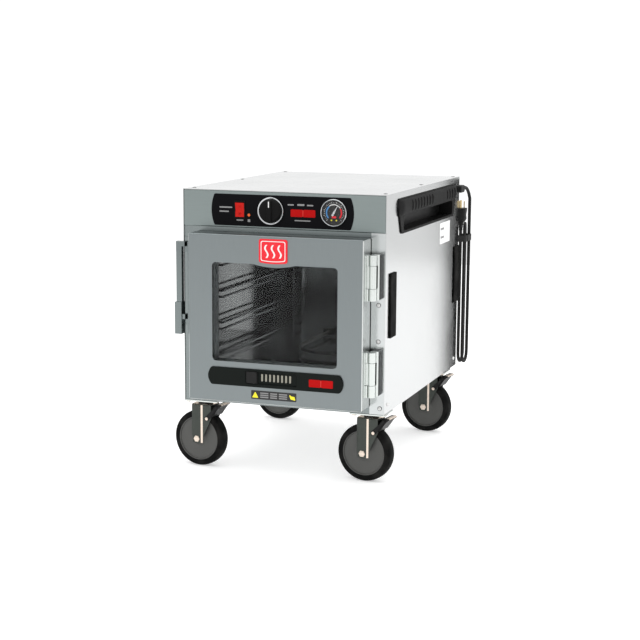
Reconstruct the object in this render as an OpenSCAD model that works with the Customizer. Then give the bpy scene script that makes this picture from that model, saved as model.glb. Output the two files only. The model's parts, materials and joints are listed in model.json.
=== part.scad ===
/* [Cabinet] */
// Width of the cabinet body
body_w = 466; // [460:1:480]
// Depth of the body, from the front frame to the back panel
body_d = 622; // [610:1:640]
// Height of the body without its casters
body_h = 472; // [468:1:480]
// Thickness of the folded sheet metal
sheet_t = 1.5; // [1:0.1:2]

/* [Cavity] */
// Clear width inside the liner
cavity_w = 360; // [352:1:366]
// Height of the cavity floor above the underside of the body
cavity_floor = 58; // [50:1:64]
// Height of the cavity ceiling above the underside of the body
cavity_top = 350; // [345:1:356]
// Radius of the coved rear corners of the liner
cove_r = 28; // [10:1:40]

/* [Door] */
// Width of the door
door_w = 398; // [394:1:400]
// Height of the lower edge of the door above the underside of the body
door_bottom = 15; // [12:1:20]
// Height of the upper edge of the door above the underside of the body
door_top = 381; // [376:1:384]
// Thickness of the door
door_t = 40; // [38:1:42]
// Distance of the door's outer face in front of the fascia
door_proud = 52; // [52:1:54]
// Width of the window
window_w = 286; // [240:1:292]

/* [Pan slides] */
// Height of the lowest slide above the underside of the body
slide_first = 102; // [98:1:110]
// Vertical distance from one slide to the next
slide_pitch = 71.5; // [60:0.5:72]
// Number of slide levels
slide_levels = 4; // [2:1:4]

/* [Casters] */
// Diameter of the wheels
wheel_d = 127; // [120:1:128]
// Width of the tyres
wheel_w = 28; // [24:1:28]
// Overall height of a caster
caster_h = 155; // [154:1:165]
// Distance of the axle behind the swivel axis
caster_trail = 12; // [8:1:16]
// Direction in which the casters stand, turned about the vertical
caster_turn = -8; // [-20:1:20]

/* [Hidden] */

$fn = 64;

// The origin lies on the floor in the middle of the footprint.
// The body's own frame has x in its middle, y on the fascia and z on its underside.
body_x = 12;
body_y = -282;
half_w = body_w / 2;
inner_w = half_w - sheet_t;

// Front of the body: the frame sits a little behind the fascia
frame_y = 3;
fascia_z = 391;
fascia_return = 12;

// Liner
liner_t = 1.2;
half_cavity = cavity_w / 2;
cavity_y = frame_y + sheet_t;
cavity_back = 580;
insulation_z = [27, 372];

// Control panel: places on the fascia as [x, z]
overlay_t = 1.2;
overlay_x = [-158, 154];
overlay_z = [395, 463.5];
overlay_bulge = 7;
knob_at = [-26, 430];
knob_r = 30;
knob_depth = 17;
shaft_r = 3;
switch_at = [-98, 430];
switch_size = [25, 38];
switch_opening = [23.4, 36.4];
pilot_at = [-77, 419];
pilot_r = 3.6;
gauge_at = [117, 431];
gauge_r = 29.5;
gauge_depth = 7;
needle_angle = 30;

// Radial clearance of a pin that turns in a bore
running = 0.05;
// Clearance between parts that pass each other
pass = 0.4;

// Side handles, outlined as [y, z] on the side panel
handle_outline = [[75, 458], [583, 458], [561, 380], [106, 380]];
handle_pocket_y = [121, 545];
handle_pocket_z = [386, 419];
handle_pocket_depth = 30;
handle_wall = 2;
grip_proud = 11;
bezel_proud = 3;

// Bumper pads on the side panels
bumper_y = [[28, 70], [577, 619]];
bumper_z = [163, 303];
bumper_t = 4;

// Screws: countersunk in the top at [x, y], domed on the sides at [y, z] and the frame at [x, z]
top_screws = [for (x = [-220, 220], y = [33, 315, 607]) [x, y]];
side_screws = [[24, 20], [598, 20]];
frame_screws = [[217, 238], [217, 159], [222, 14]];
screw_head_r = 4;
screw_shank_r = 1.5;
screw_shank = 8;
screw_dome_h = 2.4;

// Pan racks
upright_x = half_cavity - 8;
upright_y = [35, 539];
upright_r = 4;
slide_x = 155;
slide_r = 2.5;
slide_pair = 14;
slide_end = 560;

// Door, in the body's frame
door_y = [-door_proud, door_t - door_proud];
half_door = door_w / 2;
window_z = [104.5, 320];
window_bulge = 6;
pane_t = 4;
pane_lap = 8;
gasket_w = 9;
gasket_x = half_cavity + 2 + gasket_w;

// Humidity vent in the door
vent_x = [-144, 150];
vent_z = [52.5, 91.5];
vent_bulge = 8;
vent_proud = 4.5;
vent_window_x = [-63, 54];
vent_window_z = [60, 87];
vent_channel_x = [-142, 56];
vent_channel_z = [57, 90];
louvre_count = 8;
louvre_pitch = 9.2;
louvre_w = 4.6;
louvre_x = -29;
louvre_z = [66, 82];

// Hinges: the axis as [x, y], and the z range of each hinge
hinge_at = [half_door + 14, -30];
hinge_z = [[44, 141], [251, 348]];
hinge_knuckle_r = 8;
hinge_pin_r = 4;
hinge_lower = 26;
hinge_upper = 22;

// Latch on the other side of the door
latch_at = [-half_door - 9, -32];
latch_z = [157, 361];
latch_lug_z = [177, 337];
latch_pin_r = 3;

// Cord: diameter, and the fold radius of the hank
cord_d = 8;
hank_fold_r = 24;
hank_z = [154, 512];
hank_y = 378;
hank_x = [247, 257];
// Route of the cord from the strain relief to the top of the hank, on the floor's frame
cord_route = [
    [252, 364, 598], [252, 371, 598], [252, 378, 597], [253, 386, 594], [254, 392, 589],
    [255, 397, 583], [256, 400, 576], [257, 402, 568], [257, 402, 556], [257, 402, 544],
    [257, 402, 532], [257, 402, 520], [257, 402, 508], [257, 402, 496], [257, 402, 486]
];
cord_sides = 10;

// Casters: places on the underside of the body as [x, y]
caster_x = 195;
caster_y = [32.5, 532];
wheel_r = wheel_d / 2;
hub_r = wheel_r - 13.5;
axle_r = 5;
kingpin_r = 5;
fork_gap = wheel_w / 2 + 2.5;
fork_t = 2.5;
fork_top = caster_h - 11.5;
brake_pivot = [14, 112];
brake_pin_r = 2.5;

// ---------------------------------------------------------------- helpers

// A block given by its range on each axis
module block(x, y, z) {
    translate([x[0], y[0], z[0]])
        cube([x[1] - x[0], y[1] - y[0], z[1] - z[0]]);
}

// Puts children given in the body's frame on the floor's frame
module on_body() {
    translate([body_x, body_y, caster_h])
        children();
}

// A child drawn on the front as [x, z] and extruded over a range of y
module on_front(y) {
    translate([0, y[1], 0])
        rotate([90, 0, 0])
            linear_extrude(y[1] - y[0])
                children();
}

// A child drawn on the right side as [y, z] and extruded over a range of x
module on_side(x) {
    translate([x[0], 0, 0])
        rotate([90, 0, 90])
            linear_extrude(x[1] - x[0])
                children();
}

// A cylinder along y, at a place on the front given as [x, z]
module front_cylinder(at, r, y) {
    translate([at[0], y[1], at[1]])
        rotate([90, 0, 0])
            cylinder(r = r, h = y[1] - y[0]);
}

// A flat panel whose short ends bulge outwards in a shallow arc
module bulged_outline(x, z, bulge) {
    half = (z[1] - z[0]) / 2;
    mid = (z[0] + z[1]) / 2;
    arc_r = (half * half + bulge * bulge) / (2 * bulge);
    translate([x[0], z[0]])
        square([x[1] - x[0], 2 * half]);
    intersection() {
        translate([x[0] - bulge, z[0]])
            square([bulge + 1, 2 * half]);
        translate([x[0] - bulge + arc_r, mid])
            circle(r = arc_r, $fn = 180);
    }
    intersection() {
        translate([x[1] - 1, z[0]])
            square([bulge + 1, 2 * half]);
        translate([x[1] + bulge - arc_r, mid])
            circle(r = arc_r, $fn = 180);
    }
}

module both_sides() {
    children();
    mirror([1, 0, 0])
        children();
}

// ---------------------------------------------------------------- body shell

module base_pan() {
    color("silver")
        on_body()
            difference() {
                block([-inner_w, inner_w], [frame_y + sheet_t, body_d - sheet_t], [0, 25]);
                block([-inner_w + sheet_t, inner_w - sheet_t],
                    [frame_y + 2 * sheet_t, body_d - 2 * sheet_t], [2, 26]);
                side_screw_shanks();
            }
}

// Shanks of the screws that hold the side panels to the base pan
module side_screw_shanks() {
    both_sides()
        for (at = side_screws)
            translate([half_w - screw_shank, at[0], at[1]])
                rotate([0, 90, 0])
                    cylinder(r = screw_shank_r, h = screw_shank);
}

// Countersunk screws of the top panel
module top_screw_shapes() {
    for (at = top_screws)
        translate([at[0], at[1], body_h - sheet_t]) {
            cylinder(r1 = screw_shank_r, r2 = screw_head_r, h = sheet_t);
            translate([0, 0, -screw_shank])
                cylinder(r = screw_shank_r, h = screw_shank);
        }
}

// One side panel, drawn on the right, with the cut-out that the handle's pocket fills
module side_panel() {
    difference() {
        block([inner_w, half_w], [0, body_d], [0, body_h - sheet_t]);
        block([inner_w - 1, half_w + 1],
            [handle_pocket_y[0] - handle_wall, handle_pocket_y[1] + handle_wall],
            [handle_pocket_z[0] - handle_wall, handle_pocket_z[1] + handle_wall]);
        side_screw_shanks();
    }
}

module left_side_panel() {
    color("gainsboro")
        on_body()
            mirror([1, 0, 0])
                side_panel();
}

module right_side_panel() {
    color("gainsboro")
        on_body()
            side_panel();
}

module top_panel() {
    color("gainsboro")
        on_body()
            difference() {
                block([-half_w, half_w], [0, body_d], [body_h - sheet_t, body_h]);
                top_screw_shapes();
            }
}

// The back has two rows of cooling slots for the control space
module back_panel() {
    slot_count = 12;
    slot_pitch = 26;
    color("silver")
        on_body()
            difference() {
                block([-inner_w, inner_w], [body_d - sheet_t, body_d], [0, body_h - sheet_t]);
                for (row = [400, 425], i = [0:slot_count - 1])
                    block([-slot_pitch * slot_count / 2 + slot_pitch * i,
                            -slot_pitch * slot_count / 2 + slot_pitch * i + 16],
                        [body_d - 3, body_d + 1], [row, row + 4]);
            }
}

module front_frame() {
    color("lightgray")
        on_body()
            difference() {
                block([-inner_w, inner_w], [frame_y, frame_y + sheet_t], [0, fascia_z]);
                block([-half_cavity, half_cavity], [0, 10], [cavity_floor, cavity_top]);
            }
}

module control_fascia() {
    color("slategray")
        on_body()
            difference() {
                block([-inner_w, inner_w], [0, fascia_return], [fascia_z, body_h - sheet_t]);
                block([-half_w, half_w], [sheet_t, fascia_return + 1],
                    [fascia_z + sheet_t, body_h - 2 * sheet_t]);
                front_cylinder(knob_at, 8, [-1, 3]);
                front_cylinder(pilot_at, pilot_r, [-1, 3]);
                front_cylinder(gauge_at, gauge_r - 3, [-1, 3]);
                switch_hole([-1, 3]);
            }
}

module switch_hole(y) {
    half_x = switch_opening[0] / 2;
    half_z = switch_opening[1] / 2;
    block([switch_at[0] - half_x, switch_at[0] + half_x], y,
        [switch_at[1] - half_z, switch_at[1] + half_z]);
}

module control_overlay() {
    color("black")
        on_body()
            difference() {
                on_front([-overlay_t, 0])
                    bulged_outline(overlay_x, overlay_z, overlay_bulge);
                front_cylinder(knob_at, 8, [-3, 3]);
                front_cylinder(pilot_at, pilot_r, [-3, 3]);
                front_cylinder(gauge_at, gauge_r - 3, [-3, 3]);
                switch_hole([-3, 3]);
            }
}

// ---------------------------------------------------------------- cavity

// Plan of the liner, grown outwards by a thickness, with coved corners at the rear
module liner_plan(grow, front) {
    w = half_cavity + grow;
    back = cavity_back + grow;
    r = cove_r + grow;
    translate([-w, front])
        square([2 * w, back - r - front]);
    translate([-w + r, front])
        square([2 * (w - r), back - front]);
    for (x = [-w + r, w - r])
        translate([x, back - r])
            circle(r = r);
}

module cavity_liner() {
    color("darkgray")
        on_body()
            difference() {
                translate([0, 0, cavity_floor - liner_t])
                    linear_extrude(cavity_top - cavity_floor + 2 * liner_t)
                        liner_plan(liner_t, cavity_y);
                translate([0, 0, cavity_floor])
                    linear_extrude(cavity_top - cavity_floor)
                        liner_plan(0, cavity_y - 1);
            }
}

module insulation() {
    color("khaki")
        on_body()
            difference() {
                block([-inner_w + 2, inner_w - 2], [cavity_y + 0.5, body_d - sheet_t - 2],
                    insulation_z);
                translate([0, 0, cavity_floor - liner_t])
                    linear_extrude(cavity_top - cavity_floor + 2 * liner_t)
                        liner_plan(liner_t, cavity_y - 1);
            }
}

module uprights() {
    for (y = upright_y)
        translate([-upright_x, y, cavity_floor])
            cylinder(r = upright_r, h = cavity_top - cavity_floor);
}

// Posts that stand on the cavity floor and reach its ceiling
module rack_uprights() {
    color("silver")
        on_body()
            both_sides()
                uprights();
}

// One bent slide rod: from the upright inwards, then to the rear
module slide_rod(z) {
    translate([-upright_x, upright_y[0], z])
        rotate([0, 90, 0])
            cylinder(r = slide_r, h = upright_x - slide_x, $fn = 24);
    translate([-slide_x, upright_y[0], z])
        sphere(r = slide_r, $fn = 24);
    translate([-slide_x, upright_y[0], z])
        rotate([-90, 0, 0])
            cylinder(r = slide_r, h = slide_end - upright_y[0], $fn = 24);
    translate([-upright_x, upright_y[1], z])
        rotate([0, 90, 0])
            cylinder(r = slide_r, h = upright_x - slide_x, $fn = 24);
}

// Pairs of rods, welded to the uprights; a pan's rim runs between the two rods of a pair
module pan_slides() {
    color("silver")
        on_body()
            both_sides()
                difference() {
                    for (level = [0:slide_levels - 1], drop = [0, slide_pair])
                        slide_rod(slide_first + level * slide_pitch - drop);
                    uprights();
                }
}

// A tubular element: two legs along the floor joined by a half turn at the front
module heating_element() {
    leg_x = 90;
    front = 380;
    tube_r = 4;
    z = cavity_floor + 12;
    color("dimgray")
        on_body() {
            for (x = [-leg_x, leg_x])
                translate([x, front, z])
                    rotate([-90, 0, 0])
                        cylinder(r = tube_r, h = cavity_back - 3 - front, $fn = 32);
            translate([0, front, z])
                rotate([0, 0, 180])
                    rotate_extrude(angle = 180)
                        translate([leg_x, 0])
                            circle(r = tube_r, $fn = 32);
            block([-leg_x - 14, leg_x + 14], [cavity_back - 3, cavity_back], [z - 8, z + 8]);
        }
}

// ---------------------------------------------------------------- controls

module thermostat_body() {
    half = 20;
    color("ivory")
        on_body()
            difference() {
                block([knob_at[0] - half, knob_at[0] + half], [sheet_t, 34],
                    [knob_at[1] - half, knob_at[1] + half]);
                front_cylinder(knob_at, shaft_r + running, [0, 30]);
            }
}

// The knob with its pointer ridge, rim and the shaft that turns in the thermostat
module thermostat_knob() {
    back = -overlay_t - pass;
    color("darkslategray")
        on_body()
            difference() {
                union() {
                    front_cylinder(knob_at, knob_r, [-7, back]);
                    front_cylinder(knob_at, knob_r - 4, [-knob_depth + 2, -7]);
                    front_cylinder(knob_at, shaft_r, [back, 29]);
                    block([knob_at[0] - 4, knob_at[0] + 4], [-knob_depth, -7],
                        [knob_at[1] - knob_r + 6, knob_at[1] + knob_r - 6]);
                }
                block([knob_at[0] - 1, knob_at[0] + 1], [-knob_depth - 1, -knob_depth + 0.6],
                    [knob_at[1] + 8, knob_at[1] + knob_r - 8]);
            }
}

// A frame on the overlay and a case behind it, with a bore across for the rocker
module power_switch_case() {
    half_x = switch_size[0] / 2;
    half_z = switch_size[1] / 2;
    case_x = switch_opening[0] / 2 - 0.1;
    case_z = switch_opening[1] / 2 - 0.1;
    wall = 1.2;
    color("black")
        on_body()
            difference() {
                union() {
                    block([switch_at[0] - half_x, switch_at[0] + half_x],
                        [-overlay_t - 2, -overlay_t],
                        [switch_at[1] - half_z, switch_at[1] + half_z]);
                    block([switch_at[0] - case_x, switch_at[0] + case_x],
                        [-overlay_t, 22],
                        [switch_at[1] - case_z, switch_at[1] + case_z]);
                }
                block([switch_at[0] - case_x + wall, switch_at[0] + case_x - wall],
                    [-overlay_t - 3, 16],
                    [switch_at[1] - case_z + wall, switch_at[1] + case_z - wall]);
                translate([switch_at[0] - case_x + 0.2, 4, switch_at[1]])
                    rotate([0, 90, 0])
                        cylinder(r = 1 + running, h = 2 * case_x - 0.4);
            }
}

// The rocker tilts on two trunnions, and its face is a shallow V
module power_rocker() {
    half_x = switch_opening[0] / 2 - 1.6;
    half_z = switch_opening[1] / 2 - 2.8;
    color("red")
        on_body() {
            translate([switch_at[0] - half_x, 0, switch_at[1]])
                rotate([90, 0, 90])
                    linear_extrude(2 * half_x)
                        polygon([[-5.5, half_z], [-2.2, 0], [-3.6, -half_z],
                            [1, -half_z + 1], [6, -4], [6, 4], [1, half_z - 1]]);
            translate([switch_at[0] - half_x - 1.1, 4, switch_at[1]])
                rotate([0, 90, 0])
                    cylinder(r = 1, h = 2 * half_x + 2.2);
        }
}

module pilot_light() {
    color("orange")
        on_body() {
            front_cylinder(pilot_at, pilot_r, [-overlay_t, 14]);
            front_cylinder(pilot_at, pilot_r + 1, [-overlay_t - 1.6, -overlay_t]);
        }
}

// A round case with a raised ring, a dial face and a bearing in the middle
module thermometer_case() {
    color("silver")
        on_body()
            difference() {
                union() {
                    front_cylinder(gauge_at, gauge_r, [-gauge_depth, -overlay_t]);
                    front_cylinder(gauge_at, gauge_r - 3.5, [-overlay_t, 24]);
                }
                front_cylinder(gauge_at, gauge_r - 3, [-gauge_depth - 1, -1.8]);
                front_cylinder(gauge_at, 1 + running, [-2, 8]);
            }
}

// The needle points up and to the right at rest
module thermometer_needle() {
    color("white")
        on_body() {
            translate([gauge_at[0], 0, gauge_at[1]])
                rotate([0, needle_angle, 0])
                    translate([0, -3, 0])
                        rotate([90, 0, 0])
                            linear_extrude(0.8)
                                polygon([[-1.6, -8], [1.6, -8], [0.4, 19], [-0.4, 19]]);
            front_cylinder(gauge_at, 3, [-4.4, -2.4]);
            front_cylinder(gauge_at, 1, [-2.4, 7]);
        }
}

// ---------------------------------------------------------------- outside fittings

// A recessed pull: a bezel, a pocket sunk into the side and a ribbed grip above it
module side_handle() {
    rib_count = 7;
    rib_pitch = 9;
    rib_y = 175;
    pocket_floor = half_w - handle_pocket_depth;
    difference() {
        union() {
            on_side([half_w, half_w + bezel_proud])
                polygon(handle_outline);
            block([pocket_floor - handle_wall, half_w + 1],
                [handle_pocket_y[0] - handle_wall, handle_pocket_y[1] + handle_wall],
                [handle_pocket_z[0] - handle_wall, handle_pocket_z[1] + handle_wall]);
            on_side([half_w, half_w + grip_proud])
                polygon([[82, 456], [576, 456], [564, 420], [100, 420]]);
        }
        block([pocket_floor, half_w + grip_proud + 1], handle_pocket_y, handle_pocket_z);
    }
    for (i = [0:rib_count - 1], start = [rib_y, 575 - rib_y])
        block([half_w + grip_proud, half_w + grip_proud + 1],
            [start + i * rib_pitch, start + i * rib_pitch + 4], [424, 452]);
}

module side_handles() {
    color("dimgray")
        on_body()
            both_sides()
                side_handle();
}

module side_bumpers() {
    color("black")
        on_body()
            both_sides()
                for (y = bumper_y)
                    block([half_w, half_w + bumper_t], y, bumper_z);
}

module domed_head() {
    cylinder(r1 = screw_head_r, r2 = screw_head_r - 1.4, h = screw_dome_h);
}

// Screws of the top, the sides and the frame, and the bolt heads under the casters
module body_screws() {
    color("gray")
        on_body() {
            top_screw_shapes();
            side_screw_shanks();
            both_sides()
                for (at = side_screws)
                    translate([half_w, at[0], at[1]])
                        rotate([0, 90, 0])
                            domed_head();
            for (at = frame_screws)
                translate([at[0], frame_y, at[1]])
                    rotate([90, 0, 0])
                        domed_head();
            for (place = caster_places(), dx = [-32, 32], dy = [-23, 23])
                translate([place[0] + dx, place[1] + dy, -3])
                    rotate([180, 0, 0])
                        cylinder(r = 5.5, h = 3, $fn = 6);
        }
}

// Polished plate that the door's magnetic seal and latch meet
module strike_plate() {
    color("white")
        on_body()
            block([-inner_w + 1, -half_door - 4], [frame_y - 1.6, frame_y], [140, 366]);
}

// ---------------------------------------------------------------- hinges

module hinge_frame_leaves() {
    x = hinge_at[0];
    y = hinge_at[1];
    color("silver")
        on_body()
            for (z = hinge_z)
                difference() {
                    union() {
                        block([x - 8, x + 10], [y + 9, frame_y], z);
                        for (part = [[z[0], z[0] + hinge_lower], [z[1] - hinge_upper, z[1]]]) {
                            block([x - 8, x + 8], [y, y + 10], part);
                            translate([x, y, part[0]])
                                cylinder(r = hinge_knuckle_r, h = part[1] - part[0]);
                        }
                    }
                    translate([x, y, z[0] - 1])
                        cylinder(r = hinge_pin_r, h = z[1] - z[0] + 2);
                }
}

module hinge_pins() {
    color("gray")
        on_body()
            for (z = hinge_z)
                translate([hinge_at[0], hinge_at[1], z[0]])
                    cylinder(r = hinge_pin_r, h = z[1] - z[0]);
}

module hinge_door_leaves() {
    x = hinge_at[0];
    y = hinge_at[1];
    color("silver")
        on_body()
            for (z = hinge_z) {
                knuckle = [z[0] + hinge_lower + 0.5, z[1] - hinge_upper - 0.5];
                difference() {
                    union() {
                        block([half_door, half_door + 2.5], [-42, -14], z);
                        block([half_door, x], [y - 5, y + 5], knuckle);
                        translate([x, y, knuckle[0]])
                            cylinder(r = hinge_knuckle_r, h = knuckle[1] - knuckle[0]);
                    }
                    translate([x, y, z[0] - 1])
                        cylinder(r = hinge_pin_r + running, h = z[1] - z[0] + 2);
                }
            }
}

// ---------------------------------------------------------------- door

// Outline of the window, whose upper edge dips under the badge
module window_outline(grow) {
    dip_half = 48;
    dip_r = (dip_half * dip_half + window_bulge * window_bulge) / (2 * window_bulge);
    difference() {
        translate([-window_w / 2 - grow, window_z[0] - grow])
            square([window_w + 2 * grow, window_z[1] - window_z[0] + 2 * grow]);
        if (grow == 0)
            intersection() {
                translate([-dip_half, window_z[1] - window_bulge])
                    square([2 * dip_half, window_bulge + 1]);
                translate([0, window_z[1] - window_bulge + dip_r])
                    circle(r = dip_r, $fn = 180);
            }
    }
}

module louvre_slots(y) {
    for (i = [0:louvre_count - 1])
        block([louvre_x + i * louvre_pitch, louvre_x + i * louvre_pitch + louvre_w], y, louvre_z);
}

// Outer pan of the door: its face and the folded edges
module door_skin() {
    color("slategray")
        on_body()
            difference() {
                block([-half_door, half_door], door_y, [door_bottom, door_top]);
                block([-half_door + sheet_t, half_door - sheet_t],
                    [door_y[0] + sheet_t, door_y[1] + 1],
                    [door_bottom + sheet_t, door_top - sheet_t]);
                on_front([door_y[0] - 1, door_y[0] + 3])
                    window_outline(0);
                louvre_slots([door_y[0] - 1, door_y[0] + 3]);
            }
}

// Inner pan: closes the back of the door and lines the window between the panes
module door_back() {
    lining = [door_y[0] + sheet_t + pane_t, door_y[1] - sheet_t];
    inner_x = half_door - sheet_t;
    color("silver")
        on_body()
            difference() {
                union() {
                    block([-inner_x, inner_x], [door_y[1] - sheet_t, door_y[1]],
                        [door_bottom + sheet_t, door_top - sheet_t]);
                    on_front(lining)
                        window_outline(pane_lap);
                }
                on_front([door_y[0], door_y[1] - pane_t])
                    window_outline(pane_lap - sheet_t);
                on_front([door_y[0], door_y[1] + 1])
                    window_outline(1);
                louvre_slots([door_y[1] - 3, door_y[1] + 1]);
            }
}

module window_panes() {
    outer_y = door_y[0] + sheet_t;
    inner_y = door_y[1] - pane_t - pane_t;
    color([0.15, 0.16, 0.17, 0.5])
        on_body() {
            on_front([outer_y, outer_y + pane_t])
                window_outline(pane_lap);
            on_front([inner_y, inner_y + pane_t])
                window_outline(pane_lap - sheet_t);
        }
}

// Seal between the back of the door and the frame
module door_gasket() {
    outer_z = [cavity_floor - 2 - gasket_w, cavity_top + 2 + gasket_w];
    y = [door_y[1], frame_y - pass];
    color("black")
        on_body()
            difference() {
                block([-gasket_x, gasket_x], y, outer_z);
                block([-gasket_x + gasket_w, gasket_x - gasket_w], [y[0] - 1, y[1] + 1],
                    [outer_z[0] + gasket_w, outer_z[1] - gasket_w]);
            }
}

// Cover strip with a window, and a channel behind it for the shutter
module vent_cover() {
    face = door_y[0];
    color("black")
        on_body()
            difference() {
                on_front([face - vent_proud, face])
                    bulged_outline(vent_x, vent_z, vent_bulge);
                block(vent_window_x, [face - vent_proud - 1, face + 1], vent_window_z);
                block(vent_channel_x, [face - vent_proud + 1.5, face + 1], vent_channel_z);
            }
}

// Shutter plate with its finger tab
module vent_slider() {
    face = door_y[0];
    color("dimgray")
        on_body() {
            block([-136, -37], [face - 2.4, face - 0.6],
                [vent_channel_z[0] + 0.5, vent_channel_z[1] - 0.5]);
            block([-61, -37], [face - vent_proud - 2.5, face - 2.4],
                [vent_window_z[0] + 1, vent_window_z[1] - 1]);
        }
}

// ---------------------------------------------------------------- latch

// Mounting plate on the edge of the door with two drilled lugs
module latch_housing() {
    x = latch_at[0];
    y = latch_at[1];
    color("silver")
        on_body()
            difference() {
                union() {
                    block([-half_door - 3, -half_door], [-48, -16], latch_z);
                    for (z = latch_lug_z)
                        block([x - 5, -half_door - 3], [y - 6, y + 6], [z, z + 12.5]);
                }
                for (z = latch_lug_z)
                    translate([x, y, z - 1])
                        cylinder(r = latch_pin_r + running, h = 15);
            }
}

// Pull handle: a bar with a wide lower end, hung on two arms with pins. The inner corner of
// each arm is cut back, so that the pull clears the mounting plate.
module latch_lever() {
    x = latch_at[0];
    y = latch_at[1];
    bar_x = [x - 22, x - 9];
    color("silver")
        on_body() {
            block(bar_x, [-46, -34], [228, latch_z[1]]);
            block([bar_x[0] - 3, bar_x[1]], [-49, -31], [latch_z[0], 228]);
            for (z = latch_lug_z) {
                arm = [z + 13, z == latch_lug_z[1] ? latch_z[1] : z + 24];
                translate([x, y, arm[0]])
                    linear_extrude(arm[1] - arm[0])
                        polygon([[-9, -14], [-2, -14], [1, -9], [1, 4], [-9, 4]]);
                translate([x, y, z])
                    cylinder(r = latch_pin_r, h = arm[0] - z + 1);
            }
        }
}

// ---------------------------------------------------------------- cord

// Elbow on the side panel whose mouth faces the rear, and its strain relief
module cord_gland() {
    color("black")
        on_body() {
            block([half_w, half_w + 14], [588, body_d + 2], [434, 452]);
            translate([half_w + 7, body_d + 2, 443])
                rotate([-90, 0, 0])
                    cylinder(r1 = 6.5, r2 = 4.8, h = 22, $fn = 32);
        }
}

// Ring of points round a cord at a place, square to its direction
function unit(v) = v / norm(v);
function heading(p, i) = unit(p[min(i + 1, len(p) - 1)] - p[max(i - 1, 0)]);
function ring(at, along, r, n) =
    let (side = unit(cross(along, [1, 0.02, 0.03])), up = cross(side, along))
    [for (k = [0:n - 1]) at + r * (cos(360 * k / n) * side + sin(360 * k / n) * up)];

module swept_cord(p, d, n) {
    rings = [for (i = [0:len(p) - 1]) each ring(p[i], heading(p, i), d / 2, n)];
    walls = [for (i = [0:len(p) - 2], k = [0:n - 1])
        [i * n + k, (i + 1) * n + k, (i + 1) * n + (k + 1) % n, i * n + (k + 1) % n]];
    start = [for (k = [0:n - 1]) k];
    end = [for (k = [n - 1:-1:0]) (len(p) - 1) * n + k];
    polyhedron(rings, concat(walls, [start, end]));
}

module cord_lead() {
    color("black")
        swept_cord(cord_route, cord_d, cord_sides);
}

// Outer shape of the two flat turns of cord that hang behind the cabinet
module cord_hank() {
    r = hank_fold_r + cord_d / 2;
    color("black")
        on_side([hank_x[0] - cord_d / 2, hank_x[1] + cord_d / 2]) {
            translate([hank_y - r, hank_z[0] + r])
                square([2 * r, hank_z[1] - hank_z[0] - 2 * r]);
            for (z = [hank_z[0] + r, hank_z[1] - r])
                translate([hank_y, z])
                    circle(r = r);
        }
}

// Plug standing on the end of the cord, with its strain relief and three blades
module cord_plug() {
    at = [247, 357];
    color("black")
        translate([at[0], at[1], 0]) {
            translate([0, -3, 492])
                cylinder(r1 = 4.6, r2 = 7, h = 22, $fn = 32);
            translate([-13, -13, 514])
                cube([26, 26, 34]);
        }
    color("gold")
        translate([at[0], at[1], 548]) {
            for (x = [-6.35, 6.35])
                translate([x - 0.75, 0, 0])
                    cube([1.5, 6.3, 17]);
            translate([0, -6, 0])
                cylinder(r = 2.4, h = 20, $fn = 32);
        }
}

// ---------------------------------------------------------------- casters

function caster_places() = [for (y = caster_y, x = [-caster_x, caster_x]) [x, y]];

// Puts a caster's own frame, with z on the floor and the wheel trailing to -x, in its place
module at_caster(i) {
    place = caster_places()[i];
    translate([body_x + place[0], body_y + place[1], 0])
        rotate([0, 0, caster_turn])
            children();
}

// A cylinder along the axle's direction, centred on the wheel's middle plane
module axle_cylinder(at, r, half) {
    translate([at[0], half, at[1]])
        rotate([90, 0, 0])
            cylinder(r = r, h = 2 * half);
}

// Mounting plates with the upper race and the kingpin, one for each caster
module caster_plates() {
    color("dimgray")
        for (i = [0:3]) {
            place = caster_places()[i];
            translate([body_x + place[0], body_y + place[1], 0]) {
                block([-40, 40], [-32, 32], [caster_h - 3, caster_h]);
                translate([0, 0, fork_top + 0.5])
                    cylinder(r = 17, h = caster_h - 3 - fork_top - 0.5);
                translate([0, 0, fork_top - 7])
                    cylinder(r = kingpin_r, h = 8);
                translate([0, 0, fork_top - 9.5])
                    cylinder(r = 8, h = 4.5);
            }
        }
}

// Side of the fork: straight behind, tapering to the axle in front
module fork_side() {
    z = wheel_r;
    polygon([[-26, fork_top], [24, fork_top], [24, 112], [-2, z - 6], [-6, z - 11],
        [-18, z - 11], [-24, z - 3], [-26, z + 10]]);
}

module fork(i) {
    color("dimgray")
        at_caster(i)
            difference() {
                union() {
                    block([-26, 24], [-fork_gap - fork_t, fork_gap + fork_t],
                        [fork_top - 4, fork_top]);
                    for (y = [-fork_gap - fork_t, fork_gap])
                        on_front([y, y + fork_t])
                            fork_side();
                }
                translate([0, 0, fork_top - 5])
                    cylinder(r = kingpin_r + running, h = 6);
                axle_cylinder([-caster_trail, wheel_r], axle_r, fork_gap + fork_t + 1);
                axle_cylinder(brake_pivot, brake_pin_r + running, fork_gap + fork_t + 1);
            }
}

module axle(i) {
    reach = fork_gap + fork_t;
    color("wheat")
        at_caster(i) {
            axle_cylinder([-caster_trail, wheel_r], axle_r, reach);
            for (y = [-reach - 5, reach])
                translate([-caster_trail, y + 5, wheel_r])
                    rotate([90, 0, 0])
                        cylinder(r = 8, h = 5, $fn = 6);
        }
}

// Disc wheel with a boss round the bore
module hub(i) {
    w = wheel_w / 2;
    color("gray")
        at_caster(i)
            translate([-caster_trail, 0, wheel_r])
                rotate([90, 0, 0])
                    rotate_extrude()
                        polygon([[axle_r + running, -w - 1.5], [13, -w - 1.5], [15, -w + 1],
                            [hub_r, -w + 1], [hub_r, w - 1], [15, w - 1],
                            [13, w + 1.5], [axle_r + running, w + 1.5]]);
}

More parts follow.
